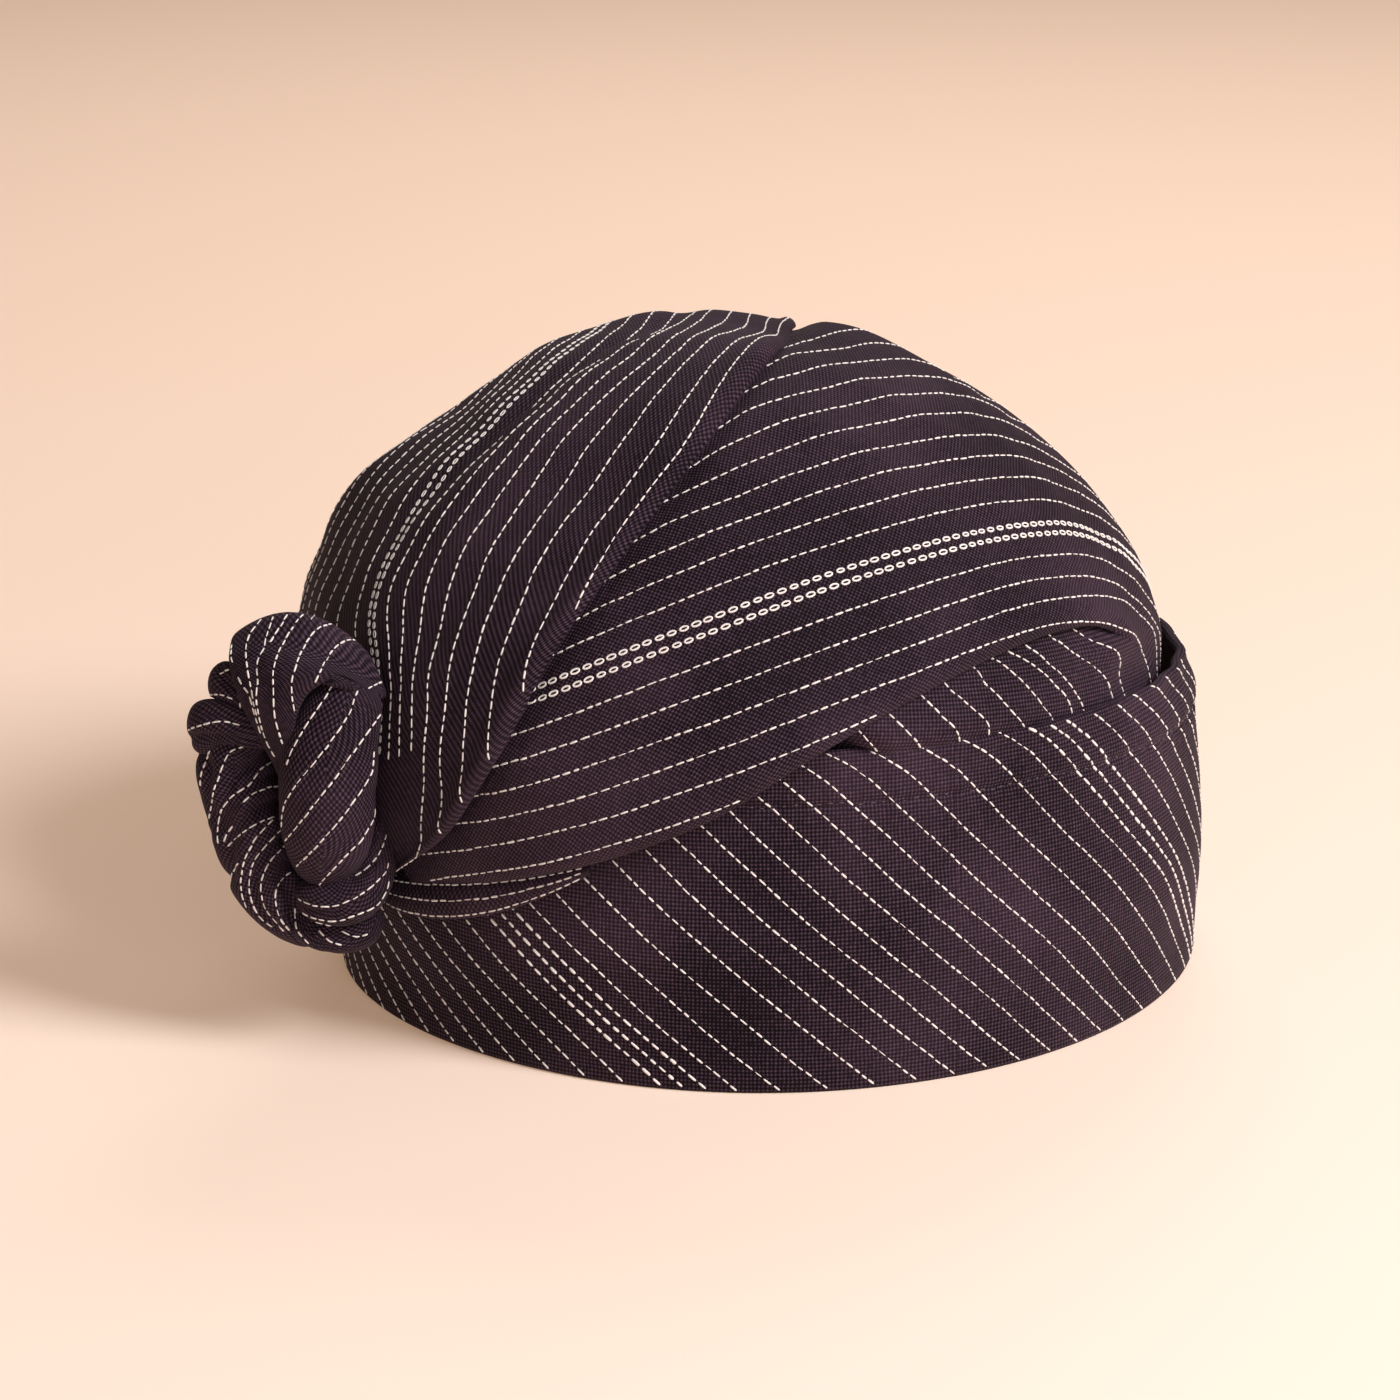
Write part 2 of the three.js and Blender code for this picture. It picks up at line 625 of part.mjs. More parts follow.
const CLOTH_LOOK = { roughness: 0.9, metalness: 0 };
const knot = knotGeometries();
const PIECES = [
  { name: 'band', geometry: bandGeometry(), color: '#2b2328' },
  { name: 'crown_under', geometry: underGeometry(), color: '#241d22' },
  { name: 'crown_front', geometry: frontGeometry(), color: '#2a2227' },
  { name: 'crown_over', geometry: overGeometry(), color: '#272024' },
  { name: 'tuck_roll', geometry: tuckRollGeometry(), color: '#2a2227' },
  { name: 'knot_loop', geometry: knot.knot_loop, color: '#2d252a' },
  { name: 'knot_strap', geometry: knot.knot_strap, color: '#2a2227' },
  { name: 'knot_roll', geometry: knot.knot_roll, color: '#272024' },
  { name: 'knot_base', geometry: knot.knot_base, color: '#272024' },
  { name: 'knot_fold', geometry: knot.knot_fold, color: '#2a2227' },
  { name: 'knot_ring', geometry: knot.knot_ring, color: '#231c20' },
];

const cap = new THREE.Group();
for (const piece of PIECES) {
  const material = new THREE.MeshStandardMaterial({ color: piece.color, ...CLOTH_LOOK });
  const mesh = new THREE.Mesh(piece.geometry, material);
  mesh.name = piece.name;
  cap.add(mesh);
}

// The origin is the middle of the footprint, on the surface the cap rests on.
const extent = new THREE.Box3().setFromObject(cap);
const middle = extent.getCenter(new THREE.Vector3());
for (const mesh of cap.children) mesh.geometry.translate(-middle.x, -middle.y, -extent.min.z);

export default cap;
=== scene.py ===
"""A ready-tied head-wrap cap of dark cloth with white dashed stripes, dressed round its CAD frame.

Lengths are millimetres in the cap's own frame, whose origin is the centre of the rim on the floor:
+X is the front of the head, the knot lies towards -X, and the near side is -Y. The last step of
every mesh turns them into metres in the CAD frame.
"""

import math

import bpy
import numpy as np
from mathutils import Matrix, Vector
from mathutils.bvhtree import BVHTree


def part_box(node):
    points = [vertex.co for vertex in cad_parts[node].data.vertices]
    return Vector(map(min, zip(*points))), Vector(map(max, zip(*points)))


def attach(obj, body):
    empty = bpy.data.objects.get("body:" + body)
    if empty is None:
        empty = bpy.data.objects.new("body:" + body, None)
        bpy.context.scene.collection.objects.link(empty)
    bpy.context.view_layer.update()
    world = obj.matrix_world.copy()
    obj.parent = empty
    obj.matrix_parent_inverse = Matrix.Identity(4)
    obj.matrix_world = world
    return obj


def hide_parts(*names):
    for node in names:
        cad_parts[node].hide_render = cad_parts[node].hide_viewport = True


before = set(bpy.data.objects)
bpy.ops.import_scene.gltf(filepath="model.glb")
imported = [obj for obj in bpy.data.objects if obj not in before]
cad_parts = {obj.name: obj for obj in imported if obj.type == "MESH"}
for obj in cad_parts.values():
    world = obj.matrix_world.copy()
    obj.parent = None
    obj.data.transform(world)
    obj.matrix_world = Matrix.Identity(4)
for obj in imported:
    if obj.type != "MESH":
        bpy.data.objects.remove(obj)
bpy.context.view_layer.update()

# ---- place and sizes

BAND_LOW, BAND_HIGH = (np.array(corner) * 1000 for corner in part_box("band"))
RIM_CENTRE = np.array([(BAND_LOW[0] + BAND_HIGH[0]) / 2, (BAND_LOW[1] + BAND_HIGH[1]) / 2, BAND_LOW[2]])

RIM_LENGTH, RIM_WIDTH = 103.0, 95.0
BAND_HEIGHT, FRONT_DIP, DIP_SHARPNESS = 77.2, 6.0, 4
BAND_WALL, BAND_LEAN = 2.6, 4.0
BAND_ROUNDING = BAND_WALL / 2
HEM_LINE = 12.0  # from the top edge down to the stitching
CROWN_CENTRE = np.array([-11.9, 0.0, 70.0])
CROWN_LENGTH, CROWN_WIDTH, CROWN_RISE, CROWN_DROP, CROWN_ROUNDNESS = 103.0, 98.0, 82.0, 110.0, 1.76
CLOTH = 2.2
BAND_CLEARANCE, TUCK_CLEARANCE = 0.8, 3.6
UNDER_LIFT, UNDER_WALL = -5.1, 2.0
PITCH = 7.0  # from stripe to stripe

# Broad dents and swellings: bearing, elevation, spread (degrees seen from the crown's centre), height.
RELIEF = [(-5, 81, 15, -3.6), (158, 45, 14, -3.0), (150, 24, 9, 1.5), (172, 5, 24, -3.2)]

# ---- curves and directions


def table(columns, text):
    """Rows of numbers."""
    return np.array(text.split(), float).reshape(-1, columns)


def smooth(x, low, high):
    t = np.clip((np.asarray(x, float) - low) / (high - low), 0, 1)
    return t * t * (3 - 2 * t)


def lerp(a, b, t):
    return a + (b - a) * t


def bell(x, width):
    return np.exp(-((x / width) ** 2))


def along(rows, s):
    """Smooth values through evenly spaced rows; s runs from 0 to 1."""
    rows = np.asarray(rows, float)
    last = len(rows) - 1
    place = np.clip(s, 0, 1) * last
    i = np.minimum(np.floor(place).astype(int), last - 1)
    t = place - i
    if rows.ndim > 1:
        t = t[..., None]
    a, b, c, d = (rows[np.clip(i + k, 0, last)] for k in (-1, 0, 1, 2))
    return b + 0.5 * t * (c - a + t * (2 * a - 5 * b + 4 * c - d + t * (3 * (b - c) + d - a)))


def look_up(keys, values, x):
    """A smooth value against keys that rise."""
    keys = np.asarray(keys, float)
    place = np.interp(x, keys, np.arange(len(keys)))
    return along(values, place / (len(keys) - 1))


def direction(bearing, elevation):
    b, e = np.radians(bearing), np.radians(elevation)
    return np.stack(np.broadcast_arrays(np.cos(e) * np.cos(b), np.cos(e) * np.sin(b), np.sin(e)), -1)


def unit(v):
    return v / np.maximum(np.linalg.norm(v, axis=-1, keepdims=True), 1e-9)


def distance(v):
    return np.linalg.norm(v, axis=-1)


def arc_lengths(path):
    return np.concatenate([[0], np.cumsum(distance(np.diff(path, axis=0)))])


def runs(shown):
    """Start and stop of each unbroken run of True."""
    return np.flatnonzero(np.diff(np.concatenate([[0], shown.astype(int), [0]]))).reshape(-1, 2)


def turned(v, axis, angle):
    """v turned round a unit axis."""
    c, s = np.cos(angle)[..., None], np.sin(angle)[..., None]
    return v * c + np.cross(axis, v) * s + axis * (v * axis).sum(-1, keepdims=True) * (1 - c)


# ---- the crown's outer face


def reach_to_band(d, margin):
    """How far the band's oval, widened by a margin, lies from the crown's centre, seen in plan."""
    a, b = RIM_LENGTH + margin, RIM_WIDTH + margin
    x0, y0 = CROWN_CENTRE[:2]
    p = (d[..., 0] / a) ** 2 + (d[..., 1] / b) ** 2 + 1e-12
    q = x0 * d[..., 0] / a**2 + y0 * d[..., 1] / b**2
    c = (x0 / a) ** 2 + (y0 / b) ** 2 - 1
    return (-q + np.sqrt(np.maximum(q * q - p * c, 0))) / p


def swelling(d, bearing, elevation, spread, height):
    apart = np.arccos(np.clip((d * direction(bearing, elevation)).sum(-1), -1, 1))
    return height * bell(apart, math.radians(spread))


def crown_point(d, lift, outside, inside):
    """The crown's face in directions from its centre: a rounded shape that, low down, is pushed out
    past the band where it hangs outside it and drawn in where it is tucked inside."""
    rise = np.where(d[..., 2] >= 0, CROWN_RISE, CROWN_DROP)
    plan = np.hypot(d[..., 0] / CROWN_LENGTH, d[..., 1] / CROWN_WIDTH)
    up = np.abs(d[..., 2]) / rise
    reach = (plan**CROWN_ROUNDNESS + up**CROWN_ROUNDNESS) ** (-1 / CROWN_ROUNDNESS)
    wall = reach_to_band(d, BAND_CLEARANCE + CLOTH)
    reach = reach + np.maximum(0, wall - reach) * (1 - smooth(d[..., 2], 0, 0.2)) * outside
    room = reach_to_band(d, -BAND_LEAN - BAND_WALL - TUCK_CLEARANCE)
    reach = reach - np.maximum(0, reach - room) * (1 - smooth(d[..., 2], 0.08, 0.2)) * inside
    for mark in RELIEF:
        reach = reach + swelling(d, *mark)
    return d * (reach + lift)[..., None] + CROWN_CENTRE


def panel_point(d, lift):
    """Panels hang outside the band behind and are tucked inside it in front."""
    outside = 1 - smooth(d[..., 0], -0.45, -0.2)
    return crown_point(d, lift, outside, smooth(d[..., 0], -0.1, 0.06))


# ---- meshes


def to_frame(points):
    return (np.asarray(points, float) + RIM_CENTRE) / 1000


def add_object(name, points, faces, material, uvs=None):
    """A smooth-shaded mesh of quads. uvs are cloth millimetres for each corner of each face."""
    mesh = bpy.data.meshes.new(name)
    faces = np.asarray(faces, np.int32)
    mesh.vertices.add(len(points))
    mesh.vertices.foreach_set("co", to_frame(points).astype(np.float32).ravel())
    mesh.loops.add(faces.size)
    mesh.loops.foreach_set("vertex_index", faces.ravel())
    mesh.polygons.add(len(faces))
    mesh.polygons.foreach_set("loop_start", np.arange(0, faces.size, 4, dtype=np.int32))
    mesh.update(calc_edges=True)
    mesh.polygons.foreach_set("use_smooth", np.ones(len(faces), bool))
    if uvs is not None:
        layer = mesh.uv_layers.new(name="cloth")
        layer.data.foreach_set("uv", (uvs / 1000).astype(np.float32).ravel())
    mesh.materials.append(material)
    piece = bpy.data.objects.new(name, mesh)
    bpy.context.scene.collection.objects.link(piece)
    return piece


def grid(a, b):
    return np.meshgrid(a, b, indexing="ij")


def lapped(rows):
    """Rows of values with the first repeated after the last."""
    return np.concatenate([rows, rows[:, :1]], 1)


def grid_cells(columns, rows):
    """(column, row) of each corner of each cell of a grid: (columns * rows, 4) each."""
    i, j = (a.ravel() for a in grid(np.arange(columns), np.arange(rows)))
    return np.stack([i, i + 1, i + 1, i], -1), np.stack([j, j, j + 1, j + 1], -1)


def faces_outward(points, faces):
    a, b, c, d = (points[faces[:, k]] for k in range(4))
    return (a * np.cross(b, c)).sum() + (a * np.cross(c, d)).sum() > 0


def skin(name, loops, wrap, uvs, cloth):
    """A closed skin over loops of points (columns, rows, 3); without wrap its two ends are closed.
    uvs has one more row than the loops, and with wrap one more column."""
    columns, rows = loops.shape[:2]
    i, j = grid_cells(columns if wrap else columns - 1, rows)
    faces = (i % columns) * rows + j % rows
    corners = uvs[i, j]
    if not wrap:
        k = np.arange(rows // 2 - 1)
        end = np.stack([k, k + 1, rows - 2 - k, rows - 1 - k], -1)
        for column, rim in ((0, end[:, ::-1]), (columns - 1, end)):
            faces = np.vstack([faces, rim + column * rows])
            corners = np.vstack([corners, uvs[column, rim]])
    points = loops.reshape(-1, 3)
    if not faces_outward(points, faces):
        faces, corners = faces[:, ::-1], corners[:, ::-1]
    return add_object(name, points, faces, cloth, corners)


# ---- camera, lights and floor

CAMERA_FALL, CAMERA_ROUND = 21.2, -26  # degrees, from one metre away
CAMERA_SENSOR, CAMERA_LENS = 36, 107.33
AIM_RIGHT, AIM_UP = -0.0165, 0.059  # metres from the rim's centre
FLOOR_SIZE = 12
LIGHT_AIM = Vector((0, 0, 0.06))
# Metres rightward, nearer and up from the rim's centre; size, power and colour.
LIGHTS = {
    "key": (1.15, 0.8, 1.15, 0.7, 34, (1, 0.95, 0.92)),
    "fill": (0.35, 1.6, 0.6, 1.0, 6, (1, 0.95, 0.94)),
    "back": (0.1, -1.2, 1.2, 0.9, 6, (1, 0.94, 0.9)),
}
SURROUND, SURROUND_STRENGTH = (1.0, 0.78, 0.62, 1), 0.16


def make_stage():
    scene = bpy.context.scene
    centre = Vector(RIM_CENTRE / 1000)
    fall, azimuth = math.radians(CAMERA_FALL), math.radians(CAMERA_ROUND)
    right = Vector((math.cos(azimuth), math.sin(azimuth), 0))
    level = Vector((math.sin(azimuth), -math.cos(azimuth), 0))
    camera = bpy.data.objects.new("camera", bpy.data.cameras.new("camera"))
    scene.collection.objects.link(camera)
    camera.location = centre + level * math.cos(fall) + Vector((0, 0, math.sin(fall)))
    target = centre + right * AIM_RIGHT + Vector((0, 0, AIM_UP))
    camera.rotation_euler = (target - camera.location).to_track_quat("-Z", "Y").to_euler()
    camera.data.sensor_width = CAMERA_SENSOR
    camera.data.lens = CAMERA_LENS
    camera.data.clip_start, camera.data.clip_end = 0.05, 50
    scene.camera = camera

    bpy.ops.mesh.primitive_plane_add(size=FLOOR_SIZE, location=(0, 0, 0))
    floor = bpy.context.object
    floor.name = "floor"
    floor.data.materials.append(floor_material())

    for name, (rightward, nearer, height, size, power, colour) in LIGHTS.items():
        light = bpy.data.objects.new(name, bpy.data.lights.new(name, "AREA"))
        light.data.shape = "DISK"
        light.data.size = size
        light.data.energy = power
        light.data.color = colour
        place = right * rightward + level * nearer + Vector((0, 0, height))
        light.location = centre + place
        light.rotation_euler = (LIGHT_AIM - place).to_track_quat("-Z", "Y").to_euler()
        scene.collection.objects.link(light)

    world = bpy.data.worlds.new("studio")
    scene.world = world
    world.use_nodes = True
    background = world.node_tree.nodes["Background"]
    background.inputs["Color"].default_value = SURROUND
    background.inputs["Strength"].default_value = SURROUND_STRENGTH
    scene.view_settings.view_transform = "Standard"


# ---- materials


class Look:
    """A material, with the few kinds of node that feed its shader."""

    def __init__(self, name):
        self.material = bpy.data.materials.new(name)
        self.material.use_nodes = True
        self.nodes = self.material.node_tree.nodes
        self.object_place = self.nodes.new("ShaderNodeTexCoord").outputs["Object"]

    def feed(self, inputs, values):
        """Gives inputs their values, which are other nodes' outputs or plain."""
        for key, value in values.items():
            if isinstance(value, bpy.types.NodeSocket):
                self.material.node_tree.links.new(value, inputs[key])
            else:
                inputs[key].default_value = value

    def finished(self, **values):
        """The material, its shader's inputs being named with _ for each space."""
        shader = self.nodes["Principled BSDF"].inputs
        self.feed(shader, {key.replace("_", " "): value for key, value in values.items()})
        return self.material

    def maths(self, operation, *values):
        node = self.nodes.new("ShaderNodeMath")
        node.operation = operation
        self.feed(node.inputs, dict(enumerate(values)))
        return node.outputs[0]

    def plus(self, a, b):
        return self.maths("ADD", a, b)

    def times(self, a, b):
        return self.maths("MULTIPLY", a, b)

    def mix(self, factor, low, high):
        node = self.nodes.new("ShaderNodeMix")
        node.data_type = "RGBA"
        shown = {socket.name: socket for socket in node.inputs if socket.enabled}
        self.feed(shown, {"Factor": factor, "A": (*low, 1), "B": (*high, 1)})
        return next(socket for socket in node.outputs if socket.type == "RGBA")

    def noise(self, scale, detail):
        node = self.nodes.new("ShaderNodeTexNoise")
        self.feed(node.inputs, {"Scale": scale, "Detail": detail, "Vector": self.object_place})
        return node.outputs["Fac"]

    def split(self, vector):
        node = self.nodes.new("ShaderNodeSeparateXYZ")
        self.feed(node.inputs, {0: vector})
        return node.outputs

    def bump(self, height, strength, distance):
        node = self.nodes.new("ShaderNodeBump")
        self.feed(node.inputs, {"Strength": strength, "Distance": distance, "Height": height})
        return node.outputs["Normal"]


def floor_material():
    """A pale sweep, warmer towards its far side, with a faint warm glow: painted light that lifts the
    shadow on it.
    """
    look = Look("floor")
    far = look.plus(look.times(look.split(look.object_place)["Y"], 1.1), 0.3)
    return look.finished(
        Base_Color=look.mix(far, (0.82, 0.74, 0.69), (0.93, 0.77, 0.67)),
        Roughness=0.95,
        Specular_IOR_Level=0.1,
        # Painted light: the floor glows faintly warm, which lifts the shadow cast on it.
        Emission_Color=(1, 0.60, 0.36, 1),
        Emission_Strength=0.25,
    )


THREAD = 0.64  # millimetres from thread to thread of the weave


def cloth_material(name, dark, light):
    """Plain-woven cloth: threads crossing over and under along the piece's cloth coordinates."""
    look = Look(name)
    uv = look.nodes.new("ShaderNodeUVMap")
    uv.uv_map = "cloth"
    place = look.split(uv.outputs["UV"])
    slack = look.times(look.maths("SUBTRACT", look.noise(260, 2), 0.5), 2.4)
    turns = [look.plus(look.times(place[axis], 1000 * math.pi / THREAD), slack) for axis in ("X", "Y")]
    weave = look.times(*(look.maths("SINE", turn) for turn in turns))
    weave = look.maths("POWER", look.plus(look.times(weave, 0.5), 0.5), 2.2)
    slub, worn = look.noise(900, 1), look.noise(22, 3)
    tone = look.times(weave, look.plus(look.times(slub, 0.9), 0.1))
    tone = look.plus(tone, look.times(look.maths("SUBTRACT", worn, 0.5), 0.5))
    return look.finished(
        Base_Color=look.mix(tone, dark, light),
        Roughness=look.plus(look.times(slub, 0.15), 0.7),
        Normal=look.bump(look.plus(weave, look.times(slub, 0.5)), 0.6, 0.0003),
        Sheen_Weight=0.05,
        Sheen_Roughness=0.45,
        Sheen_Tint=(0.8, 0.62, 0.72, 1),
        Specular_IOR_Level=0.1,
    )


def thread_material(name, low, high):
    """Fuzzy thread, patchy in tone."""
    look = Look(name)
    fibre = look.noise(2600, 2)
    tone = look.plus(look.times(fibre, 0.5), look.times(look.noise(120, 2), 0.5))
    return look.finished(
        Base_Color=look.mix(tone, low, high),
        Normal=look.bump(fibre, 0.4, 0.0001),
        Roughness=0.75,
        Sheen_Weight=0.15,
    )


# ---- stripe threads

RANDOM = np.random.default_rng(7)
GRAIN_STATIONS = np.array([-1.0, -0.72, 0.0, 0.72, 1.0])
GRAIN_FULLNESS = np.array([0.45, 0.9, 1.0, 0.9, 0.45])
GRAIN_SECTION = np.radians([0, 60, 120, 180, 270])  # the last lies beneath the cloth's face
LINK_TURNS = np.linspace(0, 2 * np.pi, 13)[:-1]
LINK_SECTION = np.linspace(0, 2 * np.pi, 6)[:-1]
DASH = {}  # the sizes that Threads.row has of its own
LINK = dict(long=2.3, wide=1.3, gap=0.5, thick=0.19)
FINE_LINK = dict(long=1.9, wide=0.95, gap=0.5, thick=0.13)
HEART = CROWN_CENTRE - np.array([0, 0, 40.0])  # a place well inside the cap


def on_surface(point, u, v, inside=HEART):
    """A path on a surface with the surface's outward normals along it."""
    path = point(u, v)
    step_u, step_v = (max(1e-4, 1e-4 * float(np.ptp(a))) for a in (u, v))
    along_u = point(u + step_u, v) - point(u - step_u, v)
    along_v = point(u, v + step_v) - point(u, v - step_v)
    normals = unit(np.cross(along_u, along_v))
    away = path - inside
    return path, normals * np.sign((normals * away).sum(-1, keepdims=True))


def at_arcs(arcs, arc, values):
    return np.stack([np.interp(arcs, arc, values[:, k]) for k in range(3)], -1)


class Threads:
    """Collects the raised stitches of one piece, each a grain or a link that lies on the cloth. Links
    are closed. The two quads that end a grain overlap, which leaves a sliver open on its underside."""

    def __init__(self):
        self.points, self.faces, self.count = [], [], 0

    def add(self, rings, closed):
        """Adds shapes given as (shapes, rings, points of a ring, 3), links being closed into a loop."""
        shapes, n, k = rings.shape[:3]
        i, j = grid_cells(n if closed else n - 1, k)
        faces = (i % n) * k + j % k
        if not closed:
            ends = np.array([[0, 1, 2, 3], [k - 1, 0, 1, 2]])
            faces = np.vstack([faces, ends, (ends + (n - 1) * k)[:, ::-1]])
        faces = faces[:, ::-1]
        self.points.append(rings.reshape(-1, 3))
        start = self.count + np.arange(shapes)[:, None, None] * n * k
        self.faces.append((faces[None] + start).reshape(-1, 4))
        self.count += shapes * n * k

    def row(self, path, normals, long=1.75, gap=0.6, wide=0.42, high=0.22):
        """Dashes in a row along a path that lies on the cloth."""
        arc = arc_lengths(path)
        room = int(arc[-1] / (0.8 * long + 0.75 * gap)) + 2
        lengths = long * RANDOM.uniform(0.72, 1.22, room)
        gaps = gap * RANDOM.uniform(0.75, 1.3, room)
        starts = RANDOM.uniform(0, gap) + np.concatenate([[0], np.cumsum(lengths + gaps)[:-1]])
        slack = np.where(RANDOM.uniform(0, 1, room) < 0.1, 0.6, 1.0)
        wide = 0.5 * wide * RANDOM.uniform(0.8, 1.25, room) * slack
        high = high * RANDOM.uniform(0.8, 1.15, room)
        shift = RANDOM.normal(0, 0.05, room)
        fit = starts + lengths < arc[-1]
        if not fit.any():
            return
        starts, lengths, wide, high, shift = (a[fit, None] for a in (starts, lengths, wide, high, shift))
        stations = starts + lengths * (0.5 + 0.5 * GRAIN_STATIONS)
        centre, normal = at_arcs(stations, arc, path), unit(at_arcs(stations, arc, normals))
        tangent = unit(np.gradient(centre, axis=1))
        side = unit(np.cross(normal, tangent))
        centre = centre + side * shift[..., None]
        wide, high = (a * GRAIN_FULLNESS for a in (wide, high))
        across = np.cos(GRAIN_SECTION) * wide[..., None]
        rise = np.sin(GRAIN_SECTION) * high[..., None]
        centre, side, normal = (a[:, :, None] for a in (centre, side, normal))
        self.add(centre + across[..., None] * side + rise[..., None] * normal, False)

    def links(self, path, normals, long, wide, gap, thick):
        """Small open ovals in a row, like the links of a chain."""
        arc = arc_lengths(path)
        room = int(arc[-1] / (long + 0.7 * gap)) + 1
        gaps = gap * RANDOM.uniform(0.7, 1.4, room)
        middles = long / 2 + RANDOM.uniform(0, gap) + np.cumsum(long + gaps)
        size = RANDOM.uniform(0.9, 1.06, (room, 1, 1))
        fit = middles + long < arc[-1]
        if not fit.any():
            return
        middles, size = middles[fit], size[fit]
        centre, ahead = (at_arcs(middles + step, arc, path) for step in (0, 0.8))
        normal = unit(at_arcs(middles, arc, normals))[:, None]
        tangent = unit(ahead - centre)[:, None]
        side = unit(np.cross(normal, tangent))
        c, s = np.cos(LINK_TURNS)[None, :, None], np.sin(LINK_TURNS)[None, :, None]
        long, wide = ((full / 2 - thick) * size for full in (long, wide))
        spine = centre[:, None] + c * long * tangent + s * wide * side + 0.06 * normal
        out = unit(c * wide * tangent + s * long * side)
        rings = spine[:, :, None] + thick * 1.25 * np.cos(LINK_SECTION)[:, None] * out[:, :, None]
        rings = rings + thick * np.sin(LINK_SECTION)[:, None] * normal[:, :, None]
        self.add(rings, True)

    def piece(self, name, material):
        return add_object(name, np.vstack(self.points), np.vstack(self.faces), material)


def lay_rows(threads, face, s, across, shown, dash):
    """Lays a stripe over each stretch of a line where it shows."""
    path, normals = on_surface(face, s, across)
    lay = threads.links if "thick" in dash else threads.row
    for start, stop in runs(shown):
        if stop - start > 3:
            lay(path[start:stop], normals[start:stop], **dash)


# ---- band


def ripple(place, height, length, phase):
    """A gentle irregular waviness over positions in millimetres."""
    x, y, z = (place[..., k] * (2 * math.pi / length) for k in range(3))
    a = np.sin(x + 0.7 * y + phase) + np.sin(0.6 * y - 1.1 * z + 2.1 * phase)
    b = np.sin(1.7 * z + 0.8 * x + 1.3 * phase) + np.sin(1.4 * y + 1.2 * x - 0.5 * phase)
    return height * (a + 0.7 * b) / 3


def rim_point(angle, outside, z):
    c, s = np.cos(angle), np.sin(angle)
    normal = unit(np.stack([c / RIM_LENGTH, s / RIM_WIDTH], -1))
    x = RIM_LENGTH * c + outside * normal[..., 0]
    y = RIM_WIDTH * s + outside * normal[..., 1]
    return np.stack(np.broadcast_arrays(x, y, z), -1)


RIM_ANGLES = np.linspace(-0.5 * math.pi, 1.5 * math.pi, 4001)
RIM_ARC = arc_lengths(rim_point(RIM_ANGLES, 0, 0))
RIM_GIRTH = RIM_ARC[-1]


def rim_angle(arc):
    """The angle at a distance along the rim from its near side, growing towards the front."""
    return np.interp(np.mod(arc, RIM_GIRTH), RIM_ARC, RIM_ANGLES)


def band_top(angle):
    return BAND_HEIGHT - FRONT_DIP * ((1 + np.cos(angle)) / 2) ** DIP_SHARPNESS


def band_face(arc, way):
    """The band's outer face and rounded top edge, `way` being measured up it from the floor."""
    angle = rim_angle(arc)
    top = band_top(angle)
    way = np.asarray(way, float)
    crest = top - BAND_ROUNDING
    z = np.minimum(way, crest)
    below = top - HEM_LINE - z
    outside = -BAND_LEAN * smooth(z, 18, top)
    outside = outside + 0.4 * smooth(-below, -0.6, 1.6) - 0.45 * bell(below, 1.1)
    round_it = arc * (2 * math.pi / RIM_GIRTH)
    pucker = np.sin(round_it * 104 + 1.5 * np.sin(round_it * 11)) * np.sin(round_it * 37 + 1)
    outside = outside + 0.3 * pucker * bell(below, 4.5)
    flat = rim_point(angle, outside, z)
    outside = outside + ripple(flat, 0.35, 46, 0.4) * smooth(z, 0, 12)
    outside = outside + 0.35 * np.sin(round_it * 29 + np.sin(round_it * 7)) * smooth(z, crest - 9, crest)
    front = smooth(np.cos(angle + math.radians(20)), 0.4, 0.85)
    outside = outside + front * (1.5 * smooth(z, 8, 34) - 2.6 * smooth(z, crest - 11, crest) ** 2)
    back_foot = bell(np.degrees(angle) - 205, 34)
    outside = outside - 3.2 * back_foot * (1 - smooth(z, 4, 40))
    over = np.clip((way - crest) / BAND_ROUNDING, 0, math.pi)
    outside = outside - BAND_ROUNDING * (1 - np.cos(over))
    return rim_point(angle, outside, z + BAND_ROUNDING * np.sin(over))


def band_cloth(arc, z):
    """Cloth coordinates that run along and across the slanting stripes."""
    return np.stack([arc - z, arc + z], -1) * 0.7071


def make_band(cloth):
    columns = 420
    arc = np.linspace(0, RIM_GIRTH, columns + 1)
    crest = band_top(rim_angle(arc))[:, None] - BAND_ROUNDING
    share = np.concatenate([np.linspace(0, 0.70, 22)[:-1], np.linspace(0.70, 1, 40)])
    foot = 0.7
    over = np.linspace(0, math.pi, 10)[1:] * BAND_ROUNDING
    way = np.concatenate([foot + (crest - foot) * share, crest + over], 1)
    arcs = np.broadcast_to(arc[:, None], way.shape)
    outer = band_face(arcs, way)
    angle = rim_angle(arc)
    normal = unit(rim_point(angle, 1, 0) - rim_point(angle, 0, 0))[:, None]
    rise = crest * np.linspace(0.96, foot / BAND_HEIGHT, 20)
    inner = band_face(arcs[:, :20], rise) - normal * BAND_WALL
    sole = outer[:, :1] - np.array([0, 0, foot])
    sole = np.concatenate([sole - normal * (BAND_WALL - foot), sole - normal * foot], 1)
    loops = np.concatenate([outer, inner, sole], 1)
    height = np.concatenate([way, rise - 8, way[:, :1] + [[-1, -0.5]]], 1)
    return skin("band_cloth", loops[:-1], True, lapped(band_cloth(arc[:, None], height)), cloth)


# The singles between the two thick triples of the near side: places along the rim at the foot.
NEAR_SINGLES = [-63.6, -22.7, 15.2, 51.2, 88.4]
TRIPLE_GAP = 4.8
HIDDEN_PITCHES = (8.08, 8.08, 9.25)
SINGLES = 16
THICK = dict(long=2.0, gap=0.75, wide=0.66, high=0.3)


